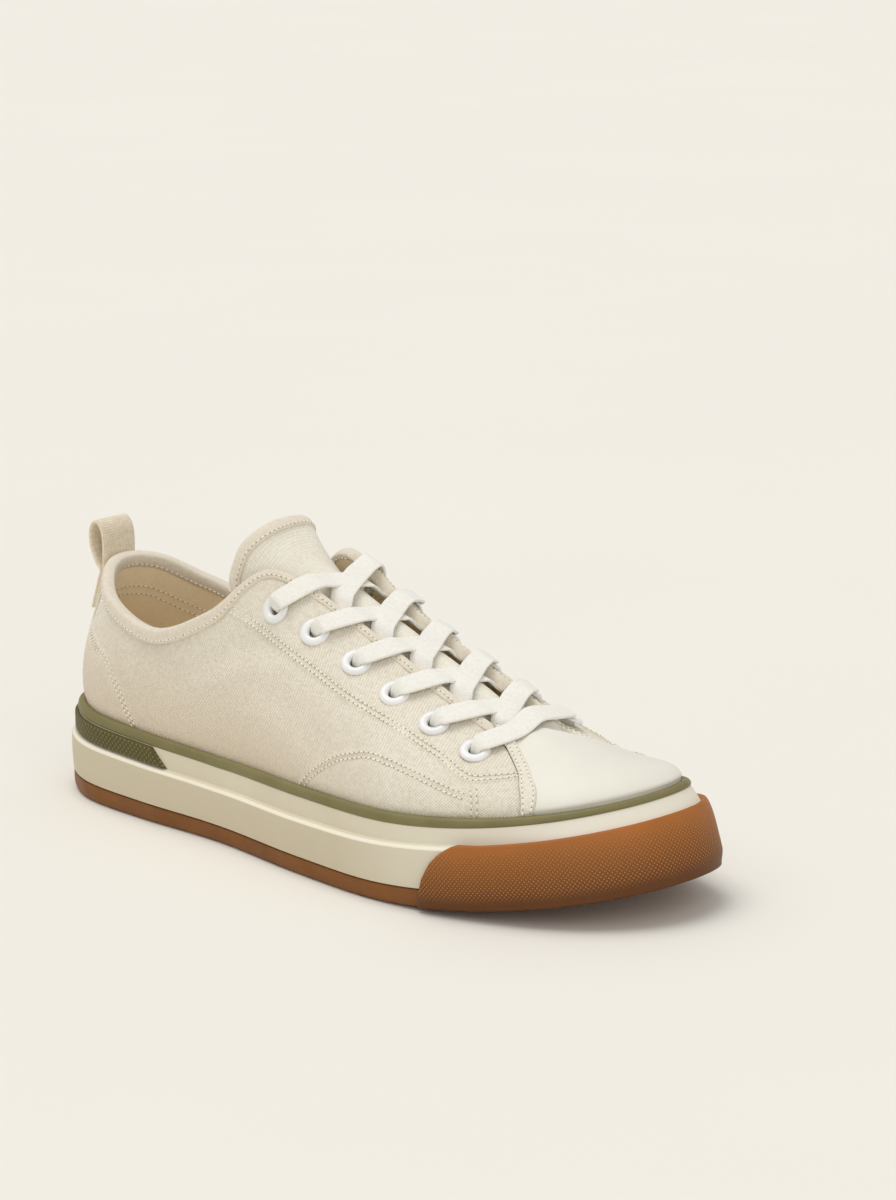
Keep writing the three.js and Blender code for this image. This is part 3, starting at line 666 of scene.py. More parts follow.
# Sole
def build_sole():
    gum = rounded([(-3.2, 0.0, 0), (-1.2, 0.0, 1.6), (0.0, 2.2, 1.6), (0.0, GUM_HEIGHT - 0.5, 0.4),
                   (-0.6, GUM_HEIGHT - 0.1, 0)])
    place_in_scene("outsole_rubber", sole_band("outsole_rubber", gum), GUM, ["outsole"])
    inside = -LEDGE_STEP - BAND_WALL
    cup = rounded([
        (-0.7, GUM_HEIGHT + 0.1, 0), (0.1, GUM_HEIGHT + 0.4, 0.4),
        (0.6, 14.0, 6.0), (0.45, LEDGE_HEIGHT - 1.3, 0.25),
        (-0.35, LEDGE_HEIGHT - 0.35, 0.25), (-LEDGE_STEP + 0.15, LEDGE_HEIGHT, 0.15),
        (-LEDGE_STEP, LEDGE_HEIGHT + 0.4, 0.15), (-LEDGE_STEP, BAND_HEIGHT + 0.6, 0.4),
        (-LEDGE_STEP - 0.6, BAND_HEIGHT + 1, 0.3), (inside, BAND_HEIGHT + 1, 0), (inside, FLOOR_HEIGHT, 0),
    ])
    place_in_scene("cup_sole", sole_band("cup_sole", cup), CREAM, ["midsole"])
    inside, outside = -FOOT_INSET + 0.15, -LEDGE_STEP + 0.35
    bead = rounded([
        (inside, BAND_HEIGHT + 0.4, 0.2), (outside - 0.3, BAND_HEIGHT + 0.4, 1.0),
        (outside, BAND_HEIGHT + 2.1, 1.5),
        (outside - 1.0, BEAD_HEIGHT + 0.2, 1.4), (inside, BEAD_HEIGHT + 0.1, 0.5),
    ], 5)
    mesh = sole_band("bead", bead, ring=True, lowered=bead_waist)
    place_in_scene("bead", mesh, OLIVE, ["foxing_bead"])
    footbed = [(-FOOT_INSET - 2.6, FLOOR_HEIGHT + 0.4), (-FOOT_INSET - 2.6, FLOOR_HEIGHT + 3.4),
               (-FOOT_INSET - 3.6, FLOOR_HEIGHT + 4.0)]
    place_in_scene("footbed", sole_band("footbed", footbed, steps=240), LINING_CLOTH, ["insole"])


def build_heel_band():
    low, high = LEDGE_HEIGHT - 0.9, BAND_HEIGHT + 0.5
    reach_low, reach_high = 0.1667, 0.1574

    def shape(s, t):
        turn = (2 * s - 1) * (reach_low + (reach_high - reach_low) * t)
        rim = np.minimum(share(np.minimum(t, 1 - t), 0, 0.16), share(np.minimum(s, 1 - s), 0, 0.006))
        proud = 0.15 - LEDGE_STEP + 1.35 * np.sqrt(1 - (1 - rim) ** 2)
        return turn, proud, low + (high - low) * t

    def cloth(s, t):
        turn, _, height = shape(s, t)
        return np.stack([np.interp(turn, TURN_STEPS, SOLE_GIRTH), height], -1)

    mesh = cloth_grid("heel_foxing", 320, 18, lambda s, t: outline_at(*shape(s, t)), cloth)
    thicken(place_in_scene("heel_foxing", mesh, OLIVE_DOTS, ["heel_band"]), 0.2)


GUARD_LEAN = np.array([
    (0.0, 0.0), (0.2, 0.0015), (0.45, 0.0045), (0.65, 0.009), (0.8, 0.015), (0.9, 0.0215),
    (0.965, 0.03), (1.0, 0.0415),
])


GUARD_PROUD = 2.3  # how far the guard stands off the cup


def build_toe_guard():
    def shape(s, t):
        lean = np.interp(t, GUARD_LEAN[:, 0], GUARD_LEAN[:, 1])
        turn = 0.3235 + lean + s * (0.353 - 2 * lean)
        rim = np.minimum(share(np.minimum(s, 1 - s) * 270, 0, 2.2), share(1 - t, 0, 0.36))
        shoulder = np.sqrt(1 - (1 - rim) ** 2)
        proud = shoulder * GUARD_PROUD * (0.35 + 0.65 * smooth(t, -0.02, 0.22)) + 0.25 * np.sin(np.pi * t)
        tucked = 0.9 * share(t, 0.88, 1) ** 2
        return turn, 0.5 + proud - tucked, 0.5 + 23.3 * np.minimum(t / 0.94, 1) - 0.7 * smooth(t, 0.94, 1)

    def cloth(s, t):
        turn, _, height = shape(s, t)
        return np.stack([np.interp(turn, TURN_STEPS, SOLE_GIRTH), height], -1)

    mesh = cloth_grid("toe_guard_rubber", 340, 32, lambda s, t: outline_at(*shape(s, t)), cloth)
    thicken(place_in_scene("toe_guard_rubber", mesh, GUARD_GUM, ["toe_guard"]), 0.8)


# Upper. Seams are lines of (turn, v) on the outer side; the inner side has the same, mirrored.
EYESTAY_SEAM = [
    (0.212, 1.0), (0.2182, 0.873), (0.2453, 0.667), (0.2747, 0.595), (0.3054, 0.586),
    (0.3349, 0.54), (0.3546, 0.434), (0.3693, 0.468), (0.3914, 0.565),
]
COUNTER_SEAM = [
    (-0.02, 0.62), (0.0417, 0.618), (0.0721, 0.612), (0.1077, 0.591), (0.1261, 0.43), (0.136, 0.27),
    (0.1409, 0.185),
]
WING_SEAM = [
    (0.2453, 0.16), (0.2539, 0.24), (0.2686, 0.333), (0.2809, 0.388), (0.2968, 0.439),
    (0.3153, 0.439), (0.3325, 0.413), (0.3533, 0.358),
]
WING_FRONT = [(0.3546, 0.358), (0.354, 0.27), (0.3533, 0.177)]
QUARTER_FRONT = [
    (0.39, 1.0), (0.389, 0.861), (0.3914, 0.814), (0.3902, 0.595), (0.3865, 0.443), (0.3828, 0.13),
]
CAP_REAR = [
    (0.4025, 1.0), (0.4074, 0.937), (0.4037, 0.751), (0.3988, 0.557), (0.3975, 0.451),
    (0.3902, 0.13),
]
PANEL = 0.55
CAP_LIFT = 0.95
SIDES = {"outer": 1, "inner": -1}


def seam_points(seam, side, steps=160):
    """A seam as a dense line of (turn, v), and its points on the face."""
    line = through(seam, steps)
    line[:, 1] = np.minimum(line[:, 1], 1)
    return line, last_point(line[:, 0] * side, line[:, 1])


def distances(points, line):
    """The distance from each point to a dense line, and the nearest share of the line."""
    tree = kdtree.KDTree(len(line))
    for i, point in enumerate(line):
        tree.insert(point, i)
    tree.balance()
    found = [tree.find(point)[1:] for point in points]
    return np.array([distance for _, distance in found]), np.array([i for i, _ in found]) / (len(line) - 1)


def ripple(points, sizes, seed):
    """Soft unevenness, from -1 to 1, as a sum of slow waves."""
    turn = np.random.default_rng(seed)
    total = np.zeros(len(points))
    for size in sizes:
        way = unit(turn.normal(size=3))
        total += np.sin(points @ way * 2 * np.pi / size + turn.uniform(0, 6))
    return total / len(sizes)


# Creases worn into the cloth: (line of (turn, v), depth, width), in millimetres
CREASES = [
    ([(0.165, 0.66), (0.195, 0.72), (0.225, 0.71), (0.245, 0.64)], 0.75, 5.5),
    ([(0.12, 0.9), (0.15, 0.78), (0.165, 0.62), (0.17, 0.45)], 0.5, 7.0),
    ([(0.205, 0.6), (0.235, 0.5), (0.262, 0.36), (0.27, 0.26)], 0.45, 6.0),
    ([(0.298, 0.7), (0.308, 0.56), (0.312, 0.44)], 0.4, 4.0),
    ([(0.322, 0.74), (0.333, 0.58), (0.338, 0.44)], 0.45, 3.6),
    ([(0.345, 0.78), (0.354, 0.62), (0.36, 0.5)], 0.4, 3.2),
    ([(0.335, 0.4), (0.342, 0.3), (0.345, 0.2)], 0.3, 3.0),
    ([(0.062, 0.85), (0.075, 0.62), (0.08, 0.4), (0.095, 0.24)], 0.4, 6.0),
]


def canvas_relief(side, m, v):
    """How far the canvas stands off the last: lapped panels, seams that draw in, creases, slack."""
    points = last_point(m * side, v)
    relief = np.zeros(len(points))
    for seam, above in ((EYESTAY_SEAM, 1), (COUNTER_SEAM, -1), (WING_SEAM, -1)):
        line, on_face = seam_points(seam, side)
        away, _ = distances(points, on_face)
        order = np.argsort(line[:, 0])
        past = {"left": 2 * above}
        if seam is not EYESTAY_SEAM:
            past["right"] = 2 * above
        limit = np.interp(m, line[order, 0], line[order, 1], **past)
        signed = away * np.where((v - limit) * above > 0, 1, -1)
        relief += PANEL * smooth(signed, -0.45, 0.35)
        relief -= 0.28 * np.exp(-((signed - 2.3) / 1.5) ** 2)
    for crease, depth, width in CREASES:
        away, at = distances(points, seam_points(crease, side)[1])
        fade = np.sin(np.pi * np.clip(at, 0.001, 0.999)) ** 0.6
        ridge = 0.45 * np.exp(-((away - width * 1.7) / width) ** 2)
        relief += fade * depth * (ridge - np.exp(-(away / width) ** 2))
    return relief + 0.25 * ripple(points, (60, 43, 31, 24), 5)


def without_holes(mesh, side_places, radius=2.9):
    """Cuts the eyelets' holes out of a cloth."""
    bm = bmesh.new()
    bm.from_mesh(mesh)
    centres = [(Vector(centre) * MM + CENTRING, Vector(normal)) for centre, normal in side_places]
    gone = []
    for face in bm.faces:
        middle = face.calc_center_median()
        for centre, normal in centres:
            way = middle - centre
            if way.length < 6 * MM and (way - normal * way.dot(normal)).length < radius * MM:
                gone.append(face)
                break
    bmesh.ops.delete(bm, geom=gone, context="FACES")
    bm.to_mesh(mesh)
    bm.free()


def eyelet_places(side):
    """The eyelets of one side (-1 outer, 1 inner), from the toe back: turn, centre and normal."""
    places = []
    for number in range(EYELET_COUNT):
        turn = throat_turn(EYELET_FIRST - number * EYELET_PITCH, side, EYELET_INSET)
        v = row_at_depth(turn, EYELET_INSET)
        places.append((turn, last_point(turn, v), last_normal(turn, v)))
    return places


EYELETS = {side: eyelet_places(side) for side in (-1, 1)}
HOLES = [(centre, normal) for side in (-1, 1) for _, centre, normal in EYELETS[side]]
LOW_ROW = 0.14
TOP_ROW = 0.986


def build_quarters():
    front = through(QUARTER_FRONT, 300)
    for name, side in SIDES.items():
        def shape(s, t, side=side):
            v = LOW_ROW + (TOP_ROW - LOW_ROW) * t
            reach = np.interp(v, front[::-1, 1], front[::-1, 0])
            across = s if side > 0 else 1 - s
            return across * reach, v

        def place(s, t, side=side):
            m, v = shape(s, t)
            relief = canvas_relief(side, m, v)
            relief = relief * share(v, LOW_ROW, 0.2) * share(TOP_ROW - v, 0, 0.03)
            points = off_last(m * side, v, relief)
            points[:, 2] -= inner_sink(m * side, v)
            return points

        def cloth(s, t, side=side):
            m, v = shape(s, t)
            return on_cloth(m * side, v)

        mesh = cloth_grid(f"quarter_{name}", 360, 96, place, cloth)
        without_holes(mesh, HOLES)
        replaced = ["upper"] if side > 0 else []
        thicken(place_in_scene(f"quarter_{name}", mesh, CANVAS_CLOTH, replaced), 0.9)


def inner_sink(turn, v):
    """How much lower the inner side's shoulder lies beside the cap, seen on the far side of the toe."""
    turn = turn % 1
    beside = smooth(turn, 0.49, 0.55) * (1 - smooth(turn, 0.62, 0.69))
    return 2.9 * beside * smooth(v, 0.3, 0.62) * (1 - smooth(v, 0.93, 1.0))


def cap_lift(v):
    return CAP_LIFT * smooth(v, 0.13, 0.22)


def build_cap():
    front = through(QUARTER_FRONT, 300)

    def shape(s, t):
        v = LOW_ROW + (1 - LOW_ROW) * t
        reach = np.interp(v, front[::-1, 1], front[::-1, 0]) + 0.002
        return reach + s * (1 - 2 * reach), v

    def place(s, t):
        turn, v = shape(s, t)
        points = last_point(turn, v)
        uneven = 0.2 * ripple(points, (70, 48, 33), 8) * share(v, LOW_ROW, 0.25)
        points = off_last(turn, v, cap_lift(v) + uneven)
        points[:, 2] -= inner_sink(turn, v)
        return points

    mesh = cloth_grid("toe_cap_cloth", 260, 84, place, lambda s, t: on_cloth(*shape(s, t)))
    thicken(place_in_scene("toe_cap_cloth", mesh, CAP_CLOTH, ["toe_cap"]), 0.8)


def build_strips():
    """The tape over the joint of quarter and cap, on each side."""
    rear, front = through(QUARTER_FRONT, 300), through(CAP_REAR, 300)
    meshes = []
    for side in SIDES.values():
        def shape(s, t, side=side):
            v = LOW_ROW + (0.985 - LOW_ROW) * t
            low = np.interp(v, rear[::-1, 1], rear[::-1, 0])
            high = np.interp(v, front[::-1, 1], front[::-1, 0])
            across = s if side > 0 else 1 - s
            return low + across * (high - low), v

        def place(s, t, side=side):
            m, v = shape(s, t)
            rim = np.minimum(share(np.minimum(s, 1 - s), 0, 0.12), share(1 - t, 0, 0.03))
            rise = cap_lift(v) + 0.15 + 0.55 * np.sqrt(1 - (1 - rim) ** 2)
            points = off_last(m * side, v, rise)
            points[:, 2] -= inner_sink(m * side, v)
            return points

        def cloth(s, t, side=side):
            m, v = shape(s, t)
            return on_cloth(m * side, v)

        meshes.append(cloth_grid("strip", 14, 150, place, cloth))
    thicken(place_in_scene("toe_strips", joined("toe_strips", meshes), STRIP_CLOTH), 0.6)


def build_lining():
    def shape(s, t):
        return 1 - s, 0.02 + 0.95 * t

    def place(s, t):
        turn, v = shape(s, t)
        points = off_last(turn, v, -2.0 - 0.3 * smooth(v, 0.9, 0.97))
        points[:, 2] -= inner_sink(turn, v)
        return points

    mesh = cloth_grid("lining_cloth", 300, 50, place, lambda s, t: on_cloth(*shape(s, t)))
    weld(mesh)
    without_holes(mesh, HOLES)
    thicken(place_in_scene("lining_cloth", mesh, LINING_CLOTH), 0.5)


def collar_depth(turn):
    """The binding's depth: deep and puffy round the collar, narrow along the throat."""
    return 4.4 + 1.7 * (1 - smooth(np.minimum(turn % 1, 1 - turn % 1), 0.19, 0.24))


BINDING_SECTION = [
    (1.0, 0.3), (0.97, 1.05), (0.5, 1.35), (0.1, 1.25), (-0.12, 0.6), (-0.22, -0.3), (-0.22, -1.0),
    (-0.12, -1.9), (0.1, -2.9), (0.5, -3.1), (0.96, -2.6), (1.0, -2.0),
]


PUCKER = 0.1
PUCKER_PITCH = 5.3


def build_binding():
    count = 600
    turns = np.linspace(-TAPE_END, TAPE_END, count)
    coarse = np.linspace(-TAPE_END, TAPE_END, 160)
    rows = np.interp(turns, coarse, [row_at_depth(turn, collar_depth(turn)) for turn in coarse])
    over = unit(last_point(turns, 1) - last_point(turns, 0.93))
    section = through(BINDING_SECTION, 27)

    def place(s, t):
        i = np.round(s * (count - 1)).astype(int)
        k = np.round(t * (len(section) - 1)).astype(int)
        down, out = section[k, 0], section[k, 1]
        puff = 1 + 0.15 * (1 - smooth(np.abs(turns[i]), 0.19, 0.24))
        girth = np.interp(turns[i], TURN_STEPS, GIRTH)
        pucker = PUCKER * np.sin(girth * 2 * np.pi / PUCKER_PITCH + 2 * np.sin(i / 17)) * share(down, 0.2, 1)
        out = np.where(out > 0, out * puff, (out + 1) * puff - 1) + pucker * np.sign(out + 0.9)
        v = TOP_ROW - (TOP_ROW - rows[i]) * np.maximum(down, 0)
        rise = np.maximum(0, -down)[:, None] * 2.2 * puff[:, None]
        return last_point(turns[i], v) + last_normal(turns[i], v) * out[:, None] + over[i] * rise

    def cloth(s, t):
        i = np.round(s * (count - 1)).astype(int)
        return np.stack([np.interp(turns[i], TURN_STEPS, GIRTH), t * 16], -1)

    mesh = cloth_grid("edge_binding", count - 1, len(section) - 1, place, cloth)
    thicken(place_in_scene("edge_binding", mesh, TAPE_CLOTH, ["binding"]), 0.3)


TAPE_END = 0.3879
STAY_TURN = 3 / SECTIONS_AROUND


def build_back_stay():
    def shape(s, t):
        return (2 * s - 1) * STAY_TURN, LOW_ROW + (0.955 - LOW_ROW) * t

    def place(s, t):
        turn, v = shape(s, t)
        rim = share(np.minimum(s, 1 - s), 0, 0.04)
        return off_last(turn, v, 0.55 + 0.75 * np.sqrt(1 - (1 - rim) ** 2))

    mesh = cloth_grid("back_strip", 60, 120, place, lambda s, t: on_cloth(*shape(s, t)))
    thicken(place_in_scene("back_strip", mesh, STRIP_CLOTH, ["back_stay"]), 0.7)


TONGUE = table("along height half depth sweep power", [
    (0.8, 0.5, 0.13, 0.05, 0, 2), (0.765, 0.505, 0.14, 0.08, 0, 2), (0.72, 0.575, 0.165, 0.16, 0, 2),
    (0.65, 0.668, 0.18, 0.22, 0, 2), (0.517, 0.832, 0.18, 0.24, 0, 2), (0.44, 0.94, 0.17, 0.22, 0, 2.1),
    (0.405, 1.005, 0.163, 0.18, 0.01, 2.3), (0.38, 1.072, 0.165, 0.16, 0.04, 2.5),
    (0.362, 1.138, 0.184, 0.165, 0.075, 2.6),
])
WING_ANGLE = 1.4
TONGUE_CROWN = 3.6  # how far the laces' padding lifts the tongue's middle
TONGUE_STEPS = through(np.stack([TONGUE[name] for name in TONGUE], -1), 400)[::-1]


WING_DROP = 12.5  # how far the top's corners hang below the wings' edges


def wing_reach(along):
    return 1 + 1 - smooth(along, 0.37, 0.44)


def tongue_point(along, across):
    """A point of the tongue's upper face. across goes from -1, the outer wing, to 1, and on to 2
    down the hanging corners."""
    along, across = arrays(along, across)
    hang = np.maximum(np.abs(across) - 1, 0) * WING_DROP
    across = np.clip(across, -1, 1)
    value = {name: np.interp(along, TONGUE_STEPS[:, 0], steps)
             for name, steps in zip(TONGUE, TONGUE_STEPS.T)}
    angle = across * WING_ANGLE
    reach = np.abs(np.sin(angle))
    fall = 1 - (1 - reach ** value["power"]) ** (1 / value["power"])
    middle = smooth(along, 0.4, 0.47) * (1 - smooth(along, 0.73, 0.775))
    crown = TONGUE_CROWN * middle * (1 - smooth(reach, 0, 0.85))
    return np.stack([
        (along - 0.5) * LENGTH - value["sweep"] * BALL_WIDTH * reach ** 4 - 0.4 * hang,
        value["half"] * BALL_WIDTH * np.sin(angle) + 0.1 * hang * np.sign(across),
        value["height"] * INSTEP_HEIGHT - fall * value["depth"] * BALL_WIDTH + crown - hang,
    ], -1)


def tongue_normal(along, across):
    ahead = tongue_point(along + 0.003, across) - tongue_point(along - 0.003, across)
    side = tongue_point(along, across + 0.01) - tongue_point(along, across - 0.01)
    return unit(np.cross(ahead, side))


def build_tongue():
    def shape(s, t):
        along = 0.8 + (0.364 - 0.8) * t
        return along, (2 * s - 1) * wing_reach(along)

    def place(s, t):
        along, across = shape(s, t)
        points = tongue_point(along, across)
        lift = 0.6 + 0.25 * ripple(points, (40, 27, 19), 11)
        return points + tongue_normal(along, across) * lift[:, None]

    def cloth(s, t):
        along, across = shape(s, t)
        return np.stack([across * 19, along * LENGTH], -1)

    mesh = cloth_grid("tongue_cloth", 72, 160, place, cloth)
    thicken(place_in_scene("tongue_cloth", mesh, TONGUE_CLOTH, ["tongue"]), 1.8)


def tongue_hem():
    """The tongue's free border: its points, the way in over the cloth and the way out of it."""
    outer = [(0.47, 1.0), (0.435, 1.01), (0.415, 1.28), (0.398, 1.7), (0.38, 1.95), (0.367, 1.93),
             (0.3615, 1.6), (0.36, 1.2), (0.36, 0.8), (0.36, 0.4)]
    border = through([(along, -across) for along, across in outer] + [(0.36, 0)] + outer[::-1], 320)
    edge = tongue_point(border[:, 0], border[:, 1])
    inward = tongue_point(border[:, 0] + 0.012, border[:, 1] * 0.93) - edge
    tangent = unit(np.gradient(edge, axis=0))
    inward = unit(inward - tangent * np.sum(inward * tangent, -1, keepdims=True))
    out = unit(np.cross(inward, tangent))
    out *= np.sign(np.sum(out * tongue_normal(border[:, 0], border[:, 1]), -1, keepdims=True))
    return edge, inward, out


def build_tongue_binding():
    """Folded tape over the tongue's free top and down its wings."""
    edge, inward, out = tongue_hem()
    section = through([(4.3, -0.2), (4.4, 0.9), (3.9, 1.35), (2.2, 1.4), (0.3, 1.1), (-0.9, 0.1),
                       (-1.1, -1.2), (-0.6, -2.1), (1.5, -2.9), (4.3, -2.8), (4.5, -2.1)], 30)

    def rows(s, t):
        return np.round(s * (len(edge) - 1)).astype(int), np.round(t * (len(section) - 1)).astype(int)

    def place(s, t):
        i, k = rows(s, t)
        return edge[i] + inward[i] * section[k, :1] + out[i] * section[k, 1:]

    lengths = lengths_along(edge)
    mesh = cloth_grid("tongue_binding", len(edge) - 1, len(section) - 1, place,
                      lambda s, t: np.stack([lengths[rows(s, t)[0]], t * 14], -1))
    thicken(place_in_scene("tongue_binding", mesh, TAPE_CLOTH), 0.3)


LOOP_WIDTH = 17.0
LOOP_THICKNESS = 1.5
LOOP_BOW = 8.0
LOOP_RISE = 12.6
BOW = [
    (0.1, -0.06), (0.08, 0.25), (0.06, 0.55), (0.14, 0.8), (0.36, 0.95), (0.6, 1), (0.86, 0.92),
    (1, 0.72), (0.9, 0.42), (0.6, 0.15), (0.34, -0.06),
]


def behind_heel(drop):
    """The middle of the loop's foot at a drop below the collar."""
    rows = np.linspace(SKIRT, 1, 200)
    v = np.interp(last_point(0, 1)[2] - drop, last_point(0, rows)[:, 2], rows)
    return off_last(0, v, 0.6 + 0.9 + 1.6)


def build_loop():
    foot = np.array([behind_heel(drop) for drop in (23.7, 20, 16, 12, 8)])
    neck = foot[-1] + np.array([1.6, 0, 0])
    height = last_point(0, 1)[2] + LOOP_RISE - 0.8 - neck[2]
    bow = np.array([(neck[0] - out * LOOP_BOW, 0, neck[2] + up * height) for out, up in BOW])
    front = foot + np.array([0.7, 0, 0])
    back = foot - np.array([0.75, 0, 0])
    line = evenly(through(np.vstack([front, bow[1:-1], back[::-1]]), 400), 0.7)
    across = np.tile([0.0, 1.0, 0.0], (len(line), 1))
    mesh = sweep("pull_loop_tape", line, across, flat_section(LOOP_WIDTH, LOOP_THICKNESS, 0.7))
    place_in_scene("pull_loop_tape", mesh, LOOP_CLOTH, ["pull_loop"])


# Eyelets and lace
EYELET_PROFILE = [
    (2.45, -3.2), (2.4, -0.5), (2.45, 0.6), (2.75, 1.1), (3.3, 1.4), (4.1, 1.45), (4.9, 1.25),
    (5.45, 0.85), (5.65, 0.4), (5.5, 0.1), (5.0, 0.1), (3.0, 0.1), (2.9, -3.2),
]


def build_eyelets():
    for side, name in ((-1, "outer"), (1, "inner")):
        for number, (_, centre, normal) in enumerate(EYELETS[side], 1):
            bm = bmesh.new()
            verts = [bm.verts.new((radius * MM, 0, height * MM)) for radius, height in EYELET_PROFILE]
            edges = [bm.edges.new(pair) for pair in zip(verts, verts[1:] + verts[:1])]
            bmesh.ops.spin(bm, geom=verts + edges, cent=(0, 0, 0), axis=(0, 0, 1), angle=2 * math.pi,
                           steps=36, use_merge=True, use_duplicate=False)
            bmesh.ops.remove_doubles(bm, verts=bm.verts, dist=1e-7)
            bmesh.ops.recalc_face_normals(bm, faces=bm.faces)
            stand = Vector(normal).to_track_quat("Z", "X").to_matrix().to_4x4()
            lift = PANEL * 0.8
            spot = Matrix.Translation(Vector(centre + normal * lift) * MM + CENTRING)
            bmesh.ops.transform(bm, matrix=spot @ stand, verts=bm.verts)
            mesh = bpy.data.meshes.new(f"rolled_eyelet_{name}_{number}")
            bm.to_mesh(mesh)
            bm.free()
            place_in_scene(mesh.name, mesh, ENAMEL, [f"eyelet_{name}_{number}"])


THROAT_WAY = np.array([0.93, 0.0, -0.37])


def edge_at(x, side, lift):
    """A point over the throat's edge, at a place along the shoe."""
    turn = throat_turn(x, side, 0)
    return off_last(turn, 1, lift)


def edge_height(x):
    return (edge_at(x, -1, 0)[2] + edge_at(x, 1, 0)[2]) / 2


def under_edge(x, side, depth):
    turn = throat_turn(x, side, depth)
    return off_last(turn, row_at_depth(turn, depth), -3.6)


def through_eyelet(side, number, towards, upward=True):
    """Points and widths of the lace through an eyelet and off its ring towards a point."""
    _, centre, normal = EYELETS[side][number - 1]
    way = towards - centre
    way = unit(way - normal * np.dot(way, normal))
    stages = ((-5.5, 0, 5.0), (-2.0, 0, 4.2), (1.0, 0.5, 4.2), (2.6, 1.8, 5.4), (2.9, 4.2, 6.5))
    rows = [(centre + normal * out + way * on, width) for out, on, width in stages]
    return rows if upward else rows[::-1]


# A run over the throat: how far ahead of its eyelet it passes the near edge, the middle and the far
# edge, and how high it lies over the near edge and at the middle
UNDER_RUN = {"near": 8.0, "middle": 11.0, "far": 15.0, "bend": 1.7, "rise": 0.9}
OVER_RUN = {"near": 7.0, "middle": 13.5, "far": 18.2, "bend": 3.0, "rise": 2.4}


def run_across(side, number, run):
    """Points and widths of the lace through an eyelet, over the throat, to under the far edge."""
    x = EYELETS[side][number - 1][1][0]
    near = edge_at(x + run["near"], side, run["bend"])
    far = edge_at(x + run["far"] + 0.7, -side, 0)
    rows = through_eyelet(side, number, near) + [(near, 6.9)]
    between = ((run["near"] * 0.55 + run["middle"] * 0.45, near[1] * 0.5, 0.9), (run["middle"], 0, 1),
               (run["far"] * 0.55 + run["middle"] * 0.45, far[1] * 0.55, 0.35))
    for ahead, y, lift in between:
        rows.append((np.array([x + ahead, y, edge_height(x + ahead) + run["rise"] * lift]), 7.0))
    rows.append((np.array([x + run["far"], far[1] * 0.86, far[2] - 2.6]), 6.8))
    rows.append((under_edge(x + run["far"] + 1.5, -side, 7), 6.0))
    return rows


def lace_rows():
    """The whole lace, from its hidden end under the outer top eyelet to the one under the inner."""
    top = EYELET_COUNT
    rows = [(under_edge(EYELETS[-1][top - 1][1][0] - 2, -1, 10), 5.5)]
    for number in range(top, 1, -1):
        rows += run_across(-1, number, UNDER_RUN) if number % 2 == 0 else run_across(1, number, OVER_RUN)
    ends = [edge_at(EYELETS[side][0][1][0] + ahead, side, 2.8) for side, ahead in ((1, 3.0), (-1, 5.5))]
    rows += through_eyelet(1, 1, ends[0])
    rows += [(ends[0], 6.8), ((ends[0] + ends[1]) / 2 + np.array([0, 0, 2.2]), 7.0), (ends[1], 6.8)]
    rows += through_eyelet(-1, 1, ends[1], upward=False)
    for number in range(2, top + 1):
        run = run_across(1, number, OVER_RUN) if number % 2 == 0 else run_across(-1, number, UNDER_RUN)
        rows += run[::-1]
    rows.append((under_edge(EYELETS[1][top - 1][1][0] - 2, 1, 10), 5.5))
    return rows


def lace_line(spacing=0.9):
    """The lace's middle line, the direction of its width, and its width, at even spacing."""
    rows = np.array([[*point, width] for point, width in lace_rows()])
    dense = through(rows, len(rows) * 24)
    lengths = lengths_along(dense[:, :3])
    places = np.linspace(0, lengths[-1], int(lengths[-1] / spacing))
    line = spots_along(places, lengths, dense)
    tangent = unit(np.gradient(line[:, :3], axis=0))
    across = THROAT_WAY - tangent * np.sum(THROAT_WAY * tangent, -1, keepdims=True)
    return line[:, :3], unit(across), line[:, 3] + np.maximum(0, line[:, 3] - 5)


def build_lace():
    line, across, widths = lace_line()
    thicknesses = 1.1 + np.clip(7 - widths, 0, 3) * 0.35
    sections = np.array([flat_section(width, thick, 0.5) for width, thick in zip(widths, thicknesses)])
    crossings = [f"lace_crossing_{number}" for number in range(2, EYELET_COUNT + 1)]
    mesh = sweep("lace_tape", line, across, sections)
    place_in_scene("lace_tape", mesh, LACE_CLOTH, ["lace_bar", *crossings])


# Seams
def face_row(side, seam, lift, shift=0.0, low=0.165, high=0.985):
    """A stitched line beside a seam: shifted in the face, and lifted off it."""
    line, points = seam_points(seam, side, 300)
    line = line[(line[:, 1] >= low) & (line[:, 1] <= high)]
    points = last_point(line[:, 0] * side, line[:, 1])
    normals = last_normal(line[:, 0] * side, line[:, 1])
    tangent = unit(np.gradient(points, axis=0))
    aside = unit(np.cross(normals, tangent)) * side
    points[:, 2] -= inner_sink(line[:, 0] * side, line[:, 1])
    return points + aside * shift + normals * lift, normals


def hem_row(turns, inset, lift):
    """A stitched line an inset above the binding's hem, on the outer face or, with a lift below 0,
    on the inner one."""
    rows = np.array([row_at_depth(turn, collar_depth(turn) - inset) for turn in turns])
    fine = np.linspace(turns[0], turns[-1], len(turns) * 5)
    rows = np.interp(fine, turns, rows)
    normals = last_normal(fine, rows)
    return last_point(fine, rows) + normals * lift, normals * np.sign(lift)


def tongue_row():
    """The stitched line along the tape over the tongue's top."""
    edge, inward, out = tongue_hem()
    return edge + inward * 3.1 + out * 1.5, out


